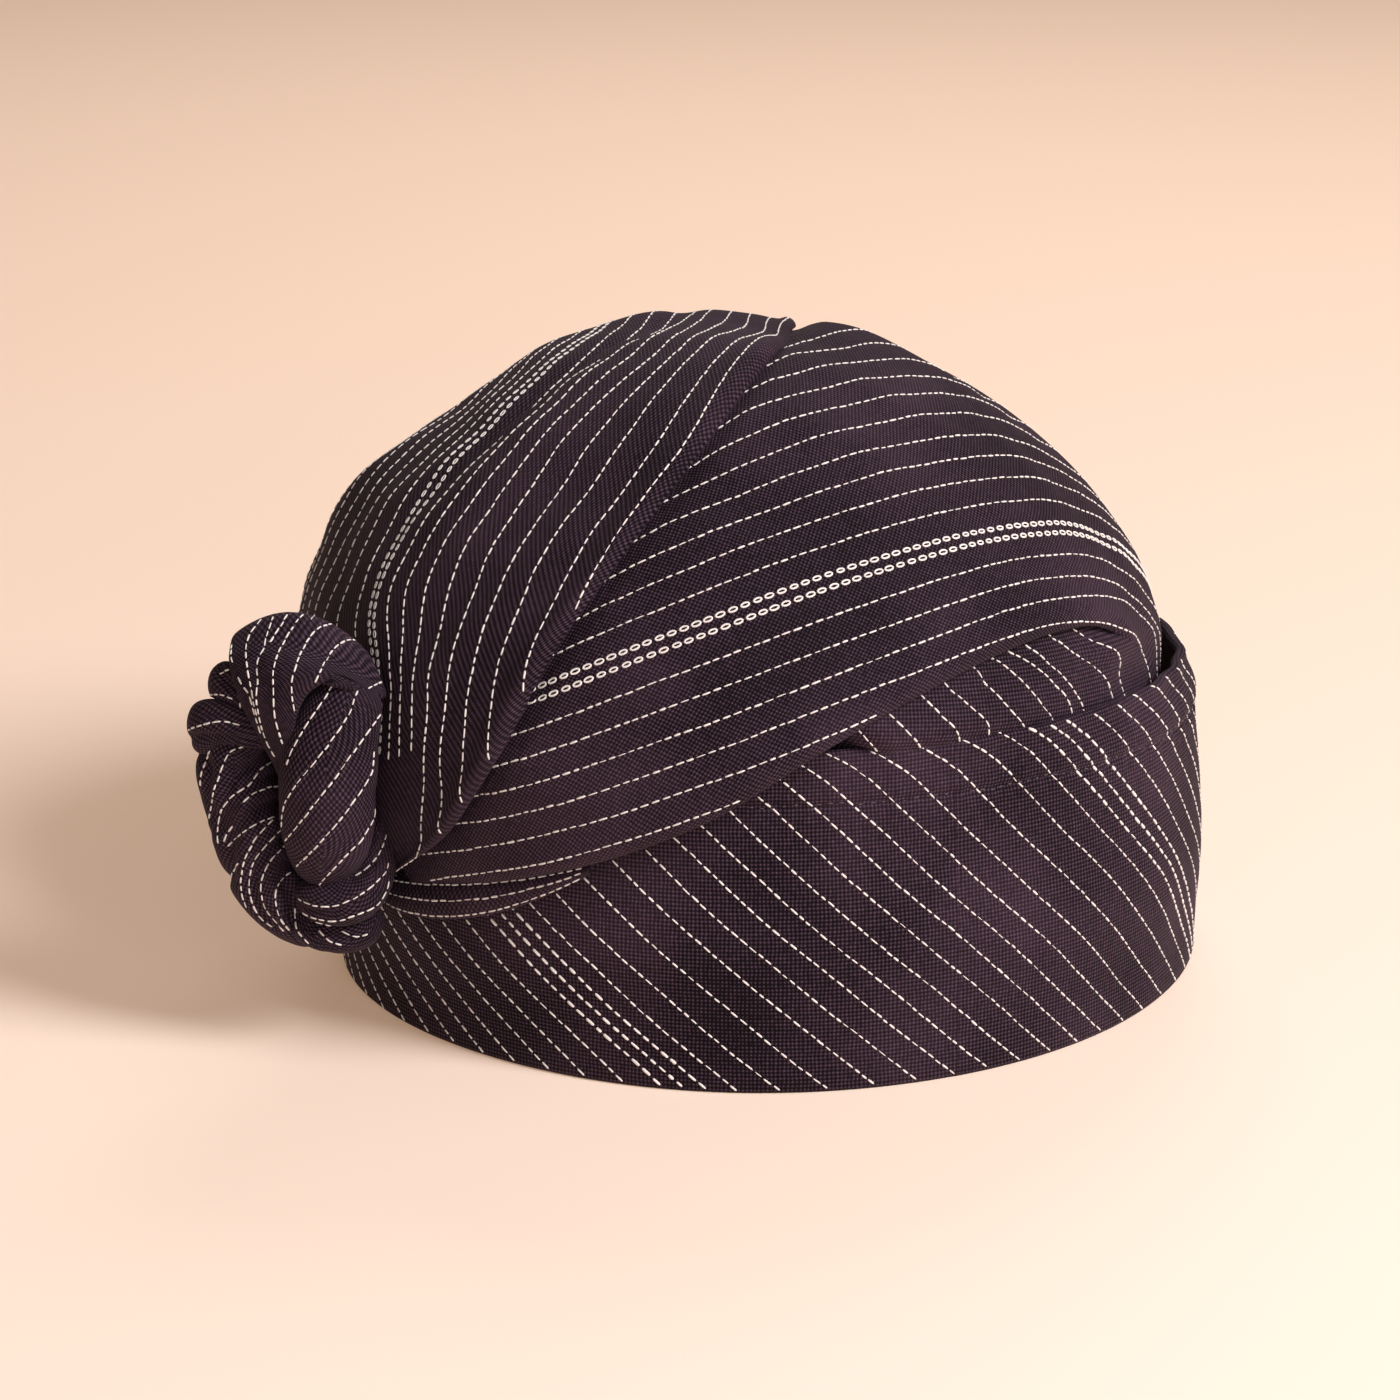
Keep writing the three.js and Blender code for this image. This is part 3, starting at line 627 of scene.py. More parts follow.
def band_rows():
    rows = [(at, THICK) for at in (-73.5, -68.6, -63.6)]
    rows += [(float(along(NEAR_SINGLES, k / (SINGLES + 1))), DASH) for k in range(1, SINGLES + 1)]
    at = NEAR_SINGLES[-1]
    for pitch in HIDDEN_PITCHES:
        rows += [(at + TRIPLE_GAP * k, THICK) for k in range(3)]
        at += 2 * TRIPLE_GAP
        rows += [(at + pitch * k, DASH) for k in range(1, SINGLES + 1)]
        at += pitch * (SINGLES + 1)
    return rows


def make_band_stripes(thread):
    threads = Threads()
    for foot, dash in band_rows():
        near = (foot + RIM_GIRTH / 2) % RIM_GIRTH - RIM_GIRTH / 2
        slope = 1.1 - 0.0018 * np.clip(near, -150, 150)
        way = np.linspace(0.8, BAND_HEIGHT + 2.5, 110)
        lean = slope * (way - 6) + 0.05 * np.maximum(0, way - 69) ** 2
        arc = foot - lean + ripple(rim_point(rim_angle(np.full(110, foot)), 0, way), 0.55, 40, 1)
        way = way[way < band_top(rim_angle(arc)) + 0.9]
        threads.row(*on_surface(band_face, arc[: len(way)], way), **dash)
    return threads.piece("band_stripes", thread)


def make_hem_stitching(thread):
    """Small stitches that hold the band's hem down."""
    threads = Threads()
    arc = np.linspace(0, RIM_GIRTH, 1600)
    drop = HEM_LINE + 0.35 * np.sin(arc * 0.21) + 0.25 * np.sin(arc * 0.63 + 1)
    rise = band_top(rim_angle(arc)) - drop
    threads.row(*on_surface(band_face, arc, rise), long=1.0, gap=1.5, wide=0.3)
    return threads.piece("hem_stitching", thread)


# ---- inner crown


# Where the inner crown meets the front panel at the pocket's far end: elevation and bearing.
FOLD_END = table(2, """
    -8 -33.5  -0.5 -35.9  3 -37.3  5.2 -38.9  7.2 -41.2  9 -43.1  10.9 -45.8  12.3 -49.4  13.6 -53.2
    14.3 -56.9  15 -62.8  16 -75
""")


def under_face(bearing, elevation, depth=0):
    """The inner crown: it fills out the pocket in front of the near side and rises there to the front
    panel's own face at the pocket's far end."""
    bearing = (bearing + 180) % 360 - 180
    d = direction(bearing, elevation)
    pocket = smooth(bearing, -104, -92) * (1 - smooth(bearing, -22, -8)) * (1 - smooth(elevation, 22, 36))
    beyond = bearing - np.interp(elevation, *FOLD_END.T)
    risen = smooth(beyond, -13, -7) * (1 - smooth(beyond, -0.8, 1)) * (1 - smooth(elevation, 9.5, 12.5))
    lift = UNDER_LIFT + pocket * (1.8 + ripple(crown_point(d, 0, 0, 0), 0.4, 30, 2.2))
    inside = reach_to_band(d, -BAND_LEAN - BAND_WALL - lerp(TUCK_CLEARANCE + CLOTH, 0.2, pocket))
    plain = distance(crown_point(d, 0, 0, 0) - CROWN_CENTRE) + lift
    tuck = lerp(0.2, 0.11, pocket)
    reach = plain - np.maximum(0, plain - inside) * (1 - smooth(d[..., 2], tuck - 0.09, tuck))
    panel = distance(panel_point(d, 0) - CROWN_CENTRE)
    reach = lerp(reach, panel + 0.5, risen * pocket)
    return CROWN_CENTRE + d * (reach - depth)[..., None]


def under_cloth(bearing, elevation):
    arc, rise = (np.radians(angle) * RIM_LENGTH * 0.93 for angle in (bearing, elevation))
    return np.stack([arc * 0.62 - rise * 0.78, arc * 0.78 + rise * 0.62], -1)


def make_under(cloth):
    stretches = ((-180, -105, 36), (-105, -25, 91), (-25, 180, 76))  # finest at the pocket
    bearing = np.concatenate([np.linspace(*stretch)[:-1] for stretch in stretches] + [[180]])
    elevation = np.concatenate([np.linspace(-13, 30, 36)[:-1], np.linspace(30, 90, 24)])
    b, e = grid(bearing, elevation)
    loops = np.concatenate([under_face(b, e), under_face(b, e, UNDER_WALL)[:, ::-1]], 1)
    uvs = under_cloth(b, e)
    uvs = lapped(np.concatenate([uvs, uvs[:, ::-1]], 1))
    return skin("crown_lining_cloth", loops[:-1], True, uvs, cloth)


# The bearings of each of the pocket's stripes at these elevations, eight to a stripe.
POCKET_RISES = [-3, 2, 4, 6, 8, 11, 14, 21]
POCKET_ROWS = table(8, """
    -45.2 -46.4 -47.6 -48.2 -49.4 -53.3 -56.3 -62  -50 -51.2 -52 -52.7 -54.6 -58.3 -61.9 -69
    -57 -58.6 -59.3 -60.5 -61.9 -64.5 -67.6 -75  -60 -61.2 -61.8 -62.8 -64.4 -67 -71.2 -79
    -62 -64.8 -65.9 -67.7 -69 -71.4 -74.9 -82  -66.5 -69.8 -71.2 -73.1 -74.7 -77 -78.9 -84
    -73 -76 -77.3 -78.1 -79.9 -82.9 -85.5 -91  -77 -80.5 -82 -83.3 -85.1 -87.6 -90 -96
    -83 -86.5 -88 -89.8 -91.6 -94.5 -97.5 -103  -89 -92.5 -94 -95.8 -97.6 -100.5 -103.5 -109
""")


def make_pocket_stripes(thread):
    """Stripes of the inner crown where it shows between the front panel and the band."""
    threads = Threads()
    for bearings in POCKET_ROWS:
        elevation = np.linspace(-3, 21, 60)
        threads.row(*on_surface(under_face, look_up(POCKET_RISES, bearings, elevation), elevation))
    return threads.piece("crown_lining_stripes", thread)


# ---- panels

FOLD_RADIUS, FOLD_THINNING = 3.0, 0.6 * CLOTH
SHEET_STEP = 1.3  # from row to row of a sheet's mesh, at its widest


def lining_depth(across):
    """How deep a panel's back lies, less near its fold."""
    return CLOTH * np.sqrt(np.clip(across / 1.2, 0.36, 1))


def folded_lift(across, swell, at, spread):
    """A panel's face falls away round its fold and may swell a little beside it."""
    rounding = np.sqrt(1 - (1 - np.clip(across / FOLD_RADIUS, 0, 1)) ** 2)
    return (rounding - 1) * FOLD_THINNING + swell * bell(across - at, spread) * rounding


def make_sheet(name, cloth, columns, face, lining, width, cloth_place):
    """A sheet of cloth with a rounded fold along across = 0. face and lining take (s, across)."""
    s = np.linspace(0, 1, columns)
    turn = np.radians(np.linspace(0, 90, 8))
    fold = FOLD_RADIUS * (1 - np.cos(turn))
    rows = int(width(s).max() / SHEET_STEP)
    share = np.linspace(0, 1, rows)[1:]
    flat = fold[-1] + (width(s)[:, None] - fold[-1]) * share
    across = np.concatenate([np.broadcast_to(fold, (columns, 8)), flat], 1)
    back = across[:, ::-1][:, ::2]
    s_out, s_back = (np.broadcast_to(s[:, None], a.shape) for a in (across, back))
    loops = np.concatenate([face(s_out, across), lining(s_back, back)], 1)
    if loops.shape[1] % 2:
        loops = np.delete(loops, -1, 1)
        back = back[:, :-1]
        s_back = s_back[:, :-1]
    uvs = np.concatenate([cloth_place(s_out, across), cloth_place(s_back, back)], 1)
    return skin(name, loops, False, lapped(uvs), cloth)


# Ruled between the folded edge, over the top, and the low edge round the back: bearing and rise.
OVER_EDGE = direction(*table(2, """
    -161 -14.5  -151 -7  -143 5  -138 18  -131 32  -121 49  -101 68  -47 79  14 75.7  38 63  52 48
    60 34  66 18  70 4  71 -8
""").T)
OVER_LOW = direction(*table(2, """
    -167 -19  -184 -21  -197 -20.5  -208 -17.5  -218 -14  -227 -10.5  -235.5 -6  -243 -2  -250 2
    -256 5.5  -262 8.5  -268 10.5  -274 9  -280 1  -284 -8
""").T)

FRONT_POLE = direction(107, 58.5)
FRONT_NEAR = unit(np.array([0, -1.0, 0]) + FRONT_POLE * FRONT_POLE[1])
FRONT_AHEAD = np.cross(FRONT_POLE, FRONT_NEAR)
# Round the front panel's pole: the turn, its low edge and its high edge, in degrees.
FRONT_TURNS = [-78, -62, -46, -30, -14, 2, 18, 34, 44, 52, 61, 76, 98, 120, 140, 150]
FRONT_LOW = [-16.5, -21, -24, -24.5, -21.8, -19.2, -17, -16, -17.2, -22.6, -32, -26.8, -15.5, -2.5, 9, 15]
FRONT_HIGH = [-8, -6, 3, 16.5, 29, 41, 50, 57, 60, 61.5, 62.5, 63, 62.5, 58, 49, 37]
# At each turn, the eight tilts of the stripes that lie these distances in from the low edge.
STRIPE_PLACES = [0, 17, 24, 31, 50, 75, 100, 115]
STRIPE_TURNS = [-80, -50, -25, 0, 25, 40, 50, 57, 62, 70, 90, 150]
STRIPE_TILTS = table(8, """
    -17.2 -8.8 -5.7 -3.2 2.6 7 7.9 6.8  -22.6 -14.4 -11.1 -7.9 0.4 10.3 19.1 23.9
    -24.5 -16.3 -12.9 -9.3 0.3 13.5 27.3 35.9  -23.5 -15.9 -12.7 -9.2 0.9 15.7 32.3 43
    -20.8 -14.8 -11.6 -8.5 0.6 15.6 33.5 45.5  -20 -15.8 -12.2 -9.3 -0.6 14 32 44.6
    -24 -18.2 -13.4 -11.1 -2.1 12 30.5 43.7  -28 -20.6 -15.7 -13.5 -3.8 9.8 28.6 42
    -33 -24.5 -18.4 -15.8 -5.2 8 27 41  -40 -31 -24 -19.5 -7.5 5.2 24.6 39  -40 -31 -26 -21 -11 0 18 33
    0 8 11 14 20 28 38 44
""")


def front_turn(s):
    return lerp(FRONT_TURNS[0], FRONT_TURNS[-1], s)


def front_direction(turn, tilt):
    t, e = np.radians(turn)[..., None], np.radians(tilt)[..., None]
    return (FRONT_NEAR * np.cos(t) + FRONT_AHEAD * np.sin(t)) * np.cos(e) + FRONT_POLE * np.sin(e)


def front_width(s):
    turn = front_turn(s)
    spread = look_up(FRONT_TURNS, FRONT_HIGH, turn) - look_up(FRONT_TURNS, FRONT_LOW, turn)
    return np.radians(spread) * CROWN_LENGTH


def front_way(s, across):
    turn = front_turn(s)
    tilt = look_up(FRONT_TURNS, FRONT_LOW, turn) + np.degrees(across / CROWN_LENGTH)
    return turn, tilt, front_direction(turn, tilt)


def past_edge(d):
    """Millimetres from the over panel's folded edge, positive on the side where the front panel shows."""
    edge = unit(along(OVER_EDGE, np.linspace(0, 1, 160)))
    ahead = np.gradient(edge, axis=0)
    side = unit(np.cross(ahead, edge))
    flat = d.reshape(-1, 3)
    nearest = (flat @ edge.T).argmax(1)
    far = np.arccos(np.clip((flat * edge[nearest]).sum(1), -1, 1)) * CROWN_LENGTH
    return (far * np.sign((flat * side[nearest]).sum(1))).reshape(d.shape[:-1])


EDGE_DIP = 1.3  # how far the front panel sinks where it passes under the over panel's fold
# Where the front panel is pushed up beside the fold, at the top: bearing, elevation, spread, height.
FRONT_SWELL = (10, 66, 10, 2.4)


def front_face(s, across):
    turn, tilt, d = front_way(s, across)
    shown = smooth(turn, -68, -50) * (1 - smooth(turn, 44, 54))
    lift = folded_lift(across, 1.3 * shown, 4, 4)
    plain = panel_point(d, 0)
    inner = smooth(across, 3, 14)
    past = past_edge(d)
    lift = lift + inner * (ripple(plain, 0.8, 56, 1.1) + ripple(plain, 0.35, 24, 0.3))
    lift = lift + swelling(d, *FRONT_SWELL) * smooth(past, 0, 9) - EDGE_DIP * (1 - smooth(past, -1, 5))
    return panel_point(d, lift)


def front_lining(s, across):
    d = front_way(s, across)[2]
    dip = EDGE_DIP * (1 - smooth(past_edge(d), -1, 5))
    return panel_point(d, -dip - lining_depth(across))


def stripe_tilt(turn, place):
    """The tilt, at a turn, of the stripe that lies `place` millimetres in from the low edge."""
    i = int(np.clip(np.searchsorted(STRIPE_PLACES, place) - 1, 0, len(STRIPE_PLACES) - 2))
    low, high = STRIPE_PLACES[i : i + 2]
    tilts = [look_up(STRIPE_TURNS, STRIPE_TILTS[:, k], turn) for k in (i, i + 1)]
    return lerp(*tilts, (place - low) / (high - low))


def front_cloth(s, across):
    turn, tilt, _ = front_way(s, across)
    rule = np.linspace(-30, 150, 25)
    columns = np.stack([stripe_tilt(turn[:, 0], place) for place in rule], -1)
    place = np.stack([np.interp(t, c, rule) for t, c in zip(tilt, np.maximum.accumulate(columns, 1))])
    return np.stack([np.radians(turn - 15) * np.cos(np.radians(tilt)) * CROWN_LENGTH, place], -1)


FRONT_ROWS = [(3 + PITCH * k, DASH) for k in range(6)] + [(45, LINK), (48.4, LINK)]
FRONT_ROWS += [(55.4 + PITCH * k, DASH) for k in range(10)]


def make_front_stripes(thread):
    threads = Threads()
    for place, dash in FRONT_ROWS:
        s = np.linspace(0.004, 0.996, 360)
        turn = front_turn(s)
        tilt = stripe_tilt(turn, place)
        low = look_up(FRONT_TURNS, FRONT_LOW, turn)
        across = np.radians(tilt - low) * CROWN_LENGTH
        shown = (across > np.where(turn > 20, 0.3, 1.4)) & (across < front_width(s) - 3)
        lay_rows(threads, front_face, s, across, shown & ((place > 14) | (turn < 40)), dash)
    return threads.piece("crown_front_stripes", thread)


def over_way(s, across):
    start, end = unit(along(OVER_EDGE, s)), unit(along(OVER_LOW, s))
    return turned(start, unit(np.cross(start, end)), across / CROWN_LENGTH)


def over_width(s):
    start, end = unit(along(OVER_EDGE, s)), unit(along(OVER_LOW, s))
    return np.arccos((start * end).sum(-1)) * CROWN_LENGTH


def over_lift(s, across):
    start = lerp(45.0, 12.0, smooth(s, 0.1, 0.35))
    over_front = lerp(2.2, 0.1, smooth(s, 0.43, 0.52) * (1 - smooth(s, 0.62, 0.72)))
    return lerp(over_front, 0.2, smooth(across, start, start + 22))


# Soft hollows and swellings of the over panel: bearing, elevation, spread, height.
OVER_SWELLS = [(144, 28, 14, 1.8), (124, 55, 9, 1.6), (92, 74, 10, 1.6)]
# A valley that runs nearly along the stripes: place along the edge and distance in from it.
VALLEY = [(0.33, 79), (0.36, 72), (0.40, 62), (0.46, 48), (0.52, 40)]


def over_face(s, across):
    d = over_way(s, across)
    shown = (1 - smooth(s, 0.8, 0.92)) * (1 - 0.9 * smooth(s, 0.44, 0.52) * (1 - smooth(s, 0.6, 0.68)))
    lift = over_lift(s, across) + folded_lift(across, 1.5 * shown, 4.5, 4)
    plain = panel_point(d, 0)
    inner = smooth(across, 3, 16)
    lift = lift + inner * (ripple(plain, 0.7, 64, 0.9) + ripple(plain, 0.4, 26, 2))
    off = across - np.interp(s, *zip(*VALLEY))
    lift = lift - 2.2 * bell(off, 6.5) * smooth(s, 0.31, 0.38) * (1 - smooth(s, 0.5, 0.58))
    for mark in OVER_SWELLS:
        lift = lift + inner * swelling(d, *mark)
    return panel_point(d, lift)


def over_lining(s, across):
    return panel_point(over_way(s, across), over_lift(s, across) - lining_depth(across))


def over_cloth(s, across):
    return np.stack([s * 330, across], -1)


LAST_KNOWN = 11
# Where stripes 1, 3, 5, 7, 9 and 11 cross each ruled line: millimetres in from the folded edge.
OVER_STATIONS = [0.04, 0.1, 0.15, 0.2, 0.25, 0.3, 0.36, 0.42, 0.5, 0.65, 1]
OVER_CROSSINGS = table(6, """
    -31 -18 -5.5 8.5 19 29  -20 -6.5 7.6 20.8 30 38  -10 3.8 18.1 28 36 43  -2.8 11.8 24.3 34 42 49
    2 17.5 32.6 45.6 54.5 62  4.4 22.3 39.5 56 69.5 78  4 21.6 40.5 55.5 68.8 82  6.3 20.5 33 47 60 73
    5 17 31.5 44 57 70  4 18 32 46 60 74  4 18 32 46 60 74
""")
OVER_ROWS = [(k, DASH) for k in range(1, 10)] + [(10, FINE_LINK), (10.5, FINE_LINK)]
OVER_ROWS += [(11.5 + k, DASH) for k in range(17)]


def over_crossing(s, stripe):
    """How far in from the folded edge a numbered stripe lies."""
    known = [look_up(OVER_STATIONS, column, s) for column in OVER_CROSSINGS.T]
    inner = min(stripe, LAST_KNOWN)
    crossing = along(known, (inner - 1) / (LAST_KNOWN - 1))
    return crossing + (stripe - inner) * PITCH * lerp(1.35, 1.0, smooth(s, 0.3, 0.55))


def make_over_stripes(thread):
    threads = Threads()
    for stripe, dash in OVER_ROWS:
        s = np.linspace(0.004, 0.996, 420)
        across = over_crossing(s, stripe)
        # From the seventh stripe on, stripes are left off below s 0.17 beside the knot, so the cloth
        # there shows plain dark: painted shade for the shadow there.
        shown = (across > 1.2) & (across < over_width(s) - 1.2) & ((stripe < 7) | (s > 0.17))
        lay_rows(threads, over_face, s, np.maximum(across, 0.05), shown, dash)
    return threads.piece("crown_over_stripes", thread)


# ---- tuck roll

# Angle round the rim, height of the middle, half height and half thickness.
TUCK_ROLL = [(-172, 34.5, 2.6, 2.0), (-164, 35.6, 4.0, 2.6), (-156, 38.2, 4.4, 2.7)]
TUCK_ROLL += [(-148, 42.2, 3.8, 2.4), (-141, 47.0, 2.4, 1.8), (-136, 51.0, 1.0, 0.9)]


def tuck_face(s, turn):
    angle, z, high, thick = (along(TUCK_ROLL, s)[..., k] for k in range(4))
    outside = BAND_CLEARANCE + thick * (1 + np.cos(turn))
    return rim_point(np.radians(angle), outside, z + high * np.sin(turn))


def make_tuck_roll(cloth, thread):
    s, turn = grid(np.linspace(0, 1, 60), np.linspace(0, 2 * np.pi, 25)[:-1])
    uvs = np.stack([s * 72, turn * 2.6], -1)
    uvs = np.concatenate([uvs, uvs[:, :1] + [0, 2.6 * 2 * np.pi]], 1)
    roll = skin("tuck_roll_cloth", tuck_face(s, turn), False, uvs, cloth)
    threads = Threads()
    s = np.linspace(0.02, 0.98, 80)
    behind = tuck_face(s, np.full_like(s, np.pi))
    for angle in (1.1, 0.15, -0.8):
        threads.row(*on_surface(tuck_face, s, np.full_like(s, angle), behind))
    return roll, threads.piece("tuck_roll_stripes", thread)


# ---- knot

KNOT_CENTRE = np.array([-130.0, -19.0, 59.0])
KNOT_OUT = direction(-116, 0)
KNOT_UP = np.array([0, 0, 1.0])
KNOT_ACROSS = np.cross(KNOT_UP, KNOT_OUT)
KNOT_TILT = 0.388  # heights in the knot are given as seen along a line that falls this steeply
ROLL_END = 6.0  # how far from its ends a roll reaches its full size


def from_knot(place):
    """A point from (across, up, out)."""
    across, up, out = (place[..., k : k + 1] for k in range(3))
    return KNOT_CENTRE + across * KNOT_ACROSS + (up + KNOT_TILT * out) * KNOT_UP + out * KNOT_OUT


def curves(text):
    """Curves (across, up), one to a line."""
    return [table(2, line) for line in text.strip().splitlines()]


def seen(points):
    """(across, up) of points."""
    apart = points - KNOT_CENTRE
    return np.stack([apart @ KNOT_ACROSS, apart @ KNOT_UP - KNOT_TILT * (apart @ KNOT_OUT)], -1)


def from_line(place, line):
    """How far places (across, up) lie from a curve."""
    line = along(line, np.linspace(0, 1, 20))
    start, step = line[:-1], np.diff(line, axis=0)
    apart = place[..., None, :] - start
    share = np.clip((apart * step).sum(-1) / (step * step).sum(-1), 0, 1)
    return distance(apart - share[..., None] * step).min(-1)


def creased(points, centres, name):
    place = seen(points)
    facing = smooth(((points - centres) * KNOT_OUT).sum(-1), -3, 1)
    sunk = ripple(points, 0.3, 21, 0.8)
    for (depth, width), *line in curves(KNOT_CREASES[name]):
        sunk = sunk + facing * depth * bell(from_line(place, line), width)
    return points + unit(centres - points) * sunk[..., None]


class Roll:
    """A roll of cloth. Rows are across, up, out, deep and broad, deep being measured along the hint."""

    def __init__(self, hint, rows, closed=False):
        self.rows, self.hint, self.closed = table(5, rows), hint, closed
        if closed:
            self.rows = np.vstack([self.rows] * 3)
        centres = self.centre(np.linspace(0, 1, 200))
        self.length = distance(np.diff(centres, axis=0)).sum()

    def values(self, s):
        if not self.closed:
            return along(self.rows, s)
        count = len(self.rows) // 3
        return along(self.rows, count * (1 + s) / (len(self.rows) - 1))

    def centre(self, s):
        return from_knot(self.values(s)[..., :3])

    def point(self, s, turn):
        step = 0.004
        ends = (s + step, s - step) if self.closed else (np.minimum(1, s + step), np.maximum(0, s - step))
        tangent = unit(self.centre(ends[0]) - self.centre(ends[1]))
        deep_axis = unit(self.hint - tangent * (self.hint * tangent).sum(-1, keepdims=True))
        broad_axis = unit(np.cross(tangent, deep_axis))
        grow = 1.0
        if not self.closed:
            near = np.minimum(s, 1 - s) * self.length
            grow = np.sqrt(1 - (1 - np.clip(near / ROLL_END, 0, 1)) ** 2)
        deep, broad = (self.values(s)[..., k] * grow for k in (3, 4))
        aside = deep_axis * (deep * np.cos(turn))[..., None]
        return self.centre(s) + aside + broad_axis * (broad * np.sin(turn))[..., None]

    def mesh(self, name, columns, sides, cloth):
        s = np.linspace(0, 1, columns + 1)
        if not self.closed:
            s = np.clip(s, 0.0005, 0.9995)
        turn = np.linspace(0, 2 * np.pi, sides + 1)
        s_g, turn_g = grid(s, turn)
        around = np.maximum(self.values(s)[:, 3:4], self.values(s)[:, 4:5])
        uvs = np.stack([s_g * self.length, turn_g * around], -1)
        loops = creased(self.point(s_g, turn_g), self.centre(s_g), name)[:, :-1]
        return skin(name + "_cloth", loops[:-1] if self.closed else loops, self.closed, uvs, cloth)


KNOT_ROLLS = {
    "knot_loop": Roll(KNOT_OUT, """
        18.6 29 1 4.6 5.5  16.8 22 4.5 7 8.4  14 13 6.5 8.5 10.2  12.9 3 7.2 9 10.6
        12.6 -6 6.6 8.6 10.2  11.4 -13 4 6.8 8  9.8 -17 1 4 4.8
    """),
    "knot_roll": Roll(KNOT_OUT, """
        23.4 0 -3 4 2.2  23.2 -9 0 6 3.4  21.4 -17 2.5 7.5 5.2  16.8 -21.6 4.5 8 6.2  10.6 -22 4 7 5.4
        5.6 -19.4 1 4.5 3.2
    """),
    "knot_base": Roll(KNOT_OUT, """
        22 -24.6 -4 6 3.4  18.4 -28.4 -2 7 4.8  12.6 -29.4 0 7.5 5.2  7.6 -28 0.5 6.5 4.6
        4.2 -24 -1 4.5 3.2
    """),
    "knot_fold": Roll(KNOT_UP, """
        1 20.5 3 3 2.5  -4.5 25.2 3 4.6 3.2  -8.9 27.2 0.5 5.1 3.7  -9.6 26.6 -5 5 3.6  -6 26 -11 5 3
    """),
    "knot_tuck": Roll(KNOT_UP, """
        1 13.4 3 2.6 2.2  -5.6 17 4.6 4.4 2.8  -11.6 18.2 2.6 5.1 3.4  -14.8 17 -2 5.6 3.4
        -12 17 -8 5 3  -5 17 -12 4 2.5
    """),
    "knot_ring": Roll(KNOT_OUT, """
        -2.4 23.4 -5.5 8 8  -7.4 13.4 -4 8.2 9.2  -7 3.4 -2.6 8.8 9.2  -5 -7 -1.8 9 8.8
        -2.2 -16.8 -1.8 8.8 8.2  4.4 -24.4 -3 8.5 8.2  12.6 -24.8 -7 8 7.4  14.5 -10 -8.5 8 7.5
        14 8 -8.5 8 7.5  11 22 -9 8 8  4 28 -8 8 8
    """, closed=True),
}

# Each roll's mesh size, (columns, sides).
ROLL_CELLS = {
    "knot_loop": (110, 80), "knot_roll": (110, 64), "knot_base": (110, 64),
    "knot_fold": (90, 56), "knot_tuck": (100, 56), "knot_ring": (320, 96),
}
OPEN_LEFT = ("knot_fold", "knot_tuck", "knot_ring")  # those whose far left side is in the open

# The strap from behind the knot down to its eye: left end and right end (across, up, out), then how
# far its middle stands up and out between them.
STRAP_ROWS = table(8, """
    -6 34 -16 22 28 -16 2 0  -7.8 37.9 -6 21.5 33.2 -6 6.4 1  -8 33.5 2 25.4 24.6 1 3.8 5
    -7.3 29.5 5 21.8 25 7 2.8 4  -6.3 25.8 6 16.2 27.8 10.5 0.8 2.6  -5.1 22.3 6.5 11 25.2 12 0.2 1.5
    -3.4 18.7 6.5 8.1 21.5 11.5 0 1.2  -1.6 15.3 6 6.5 16.8 10 0 1  0.3 11.4 5 5 11.9 7.6 0 0.6
    2.2 7.4 2 3.5 7.2 3 0 0.2
""")
STRAP_THICK, STRAP_SQUARENESS = 3.4, 0.7


def strap_middle(s, t):
    rows = along(STRAP_ROWS, s)
    place = lerp(rows[..., :3], rows[..., 3:6], t[..., None])
    place[..., 1:] += rows[..., 6:] * np.sin(np.pi * t)[..., None]
    return from_knot(place)


def make_strap(cloth):
    s, turn = grid(np.linspace(0, 1, 121), np.linspace(0, 2 * np.pi, 73))
    c, up = (np.sign(f(turn)) * np.abs(f(turn)) ** STRAP_SQUARENESS for f in (np.cos, np.sin))
    t = 0.5 - 0.5 * c
    step = 0.003
    middle = strap_middle(s, t)
    down = strap_middle(np.minimum(1, s + step), t) - strap_middle(np.maximum(0, s - step), t)
    aside = strap_middle(s, t + step) - strap_middle(s, t - step)
    points = middle + unit(np.cross(aside, down)) * (-up * STRAP_THICK / 2)[..., None]
    points = creased(points, middle - 12 * KNOT_OUT - 4 * KNOT_UP, "knot_strap")
    uvs = np.stack([s * 62, t * 30 + 3 * up], -1)
    return skin("knot_strap_cloth", points[:, :-1], False, uvs, cloth)


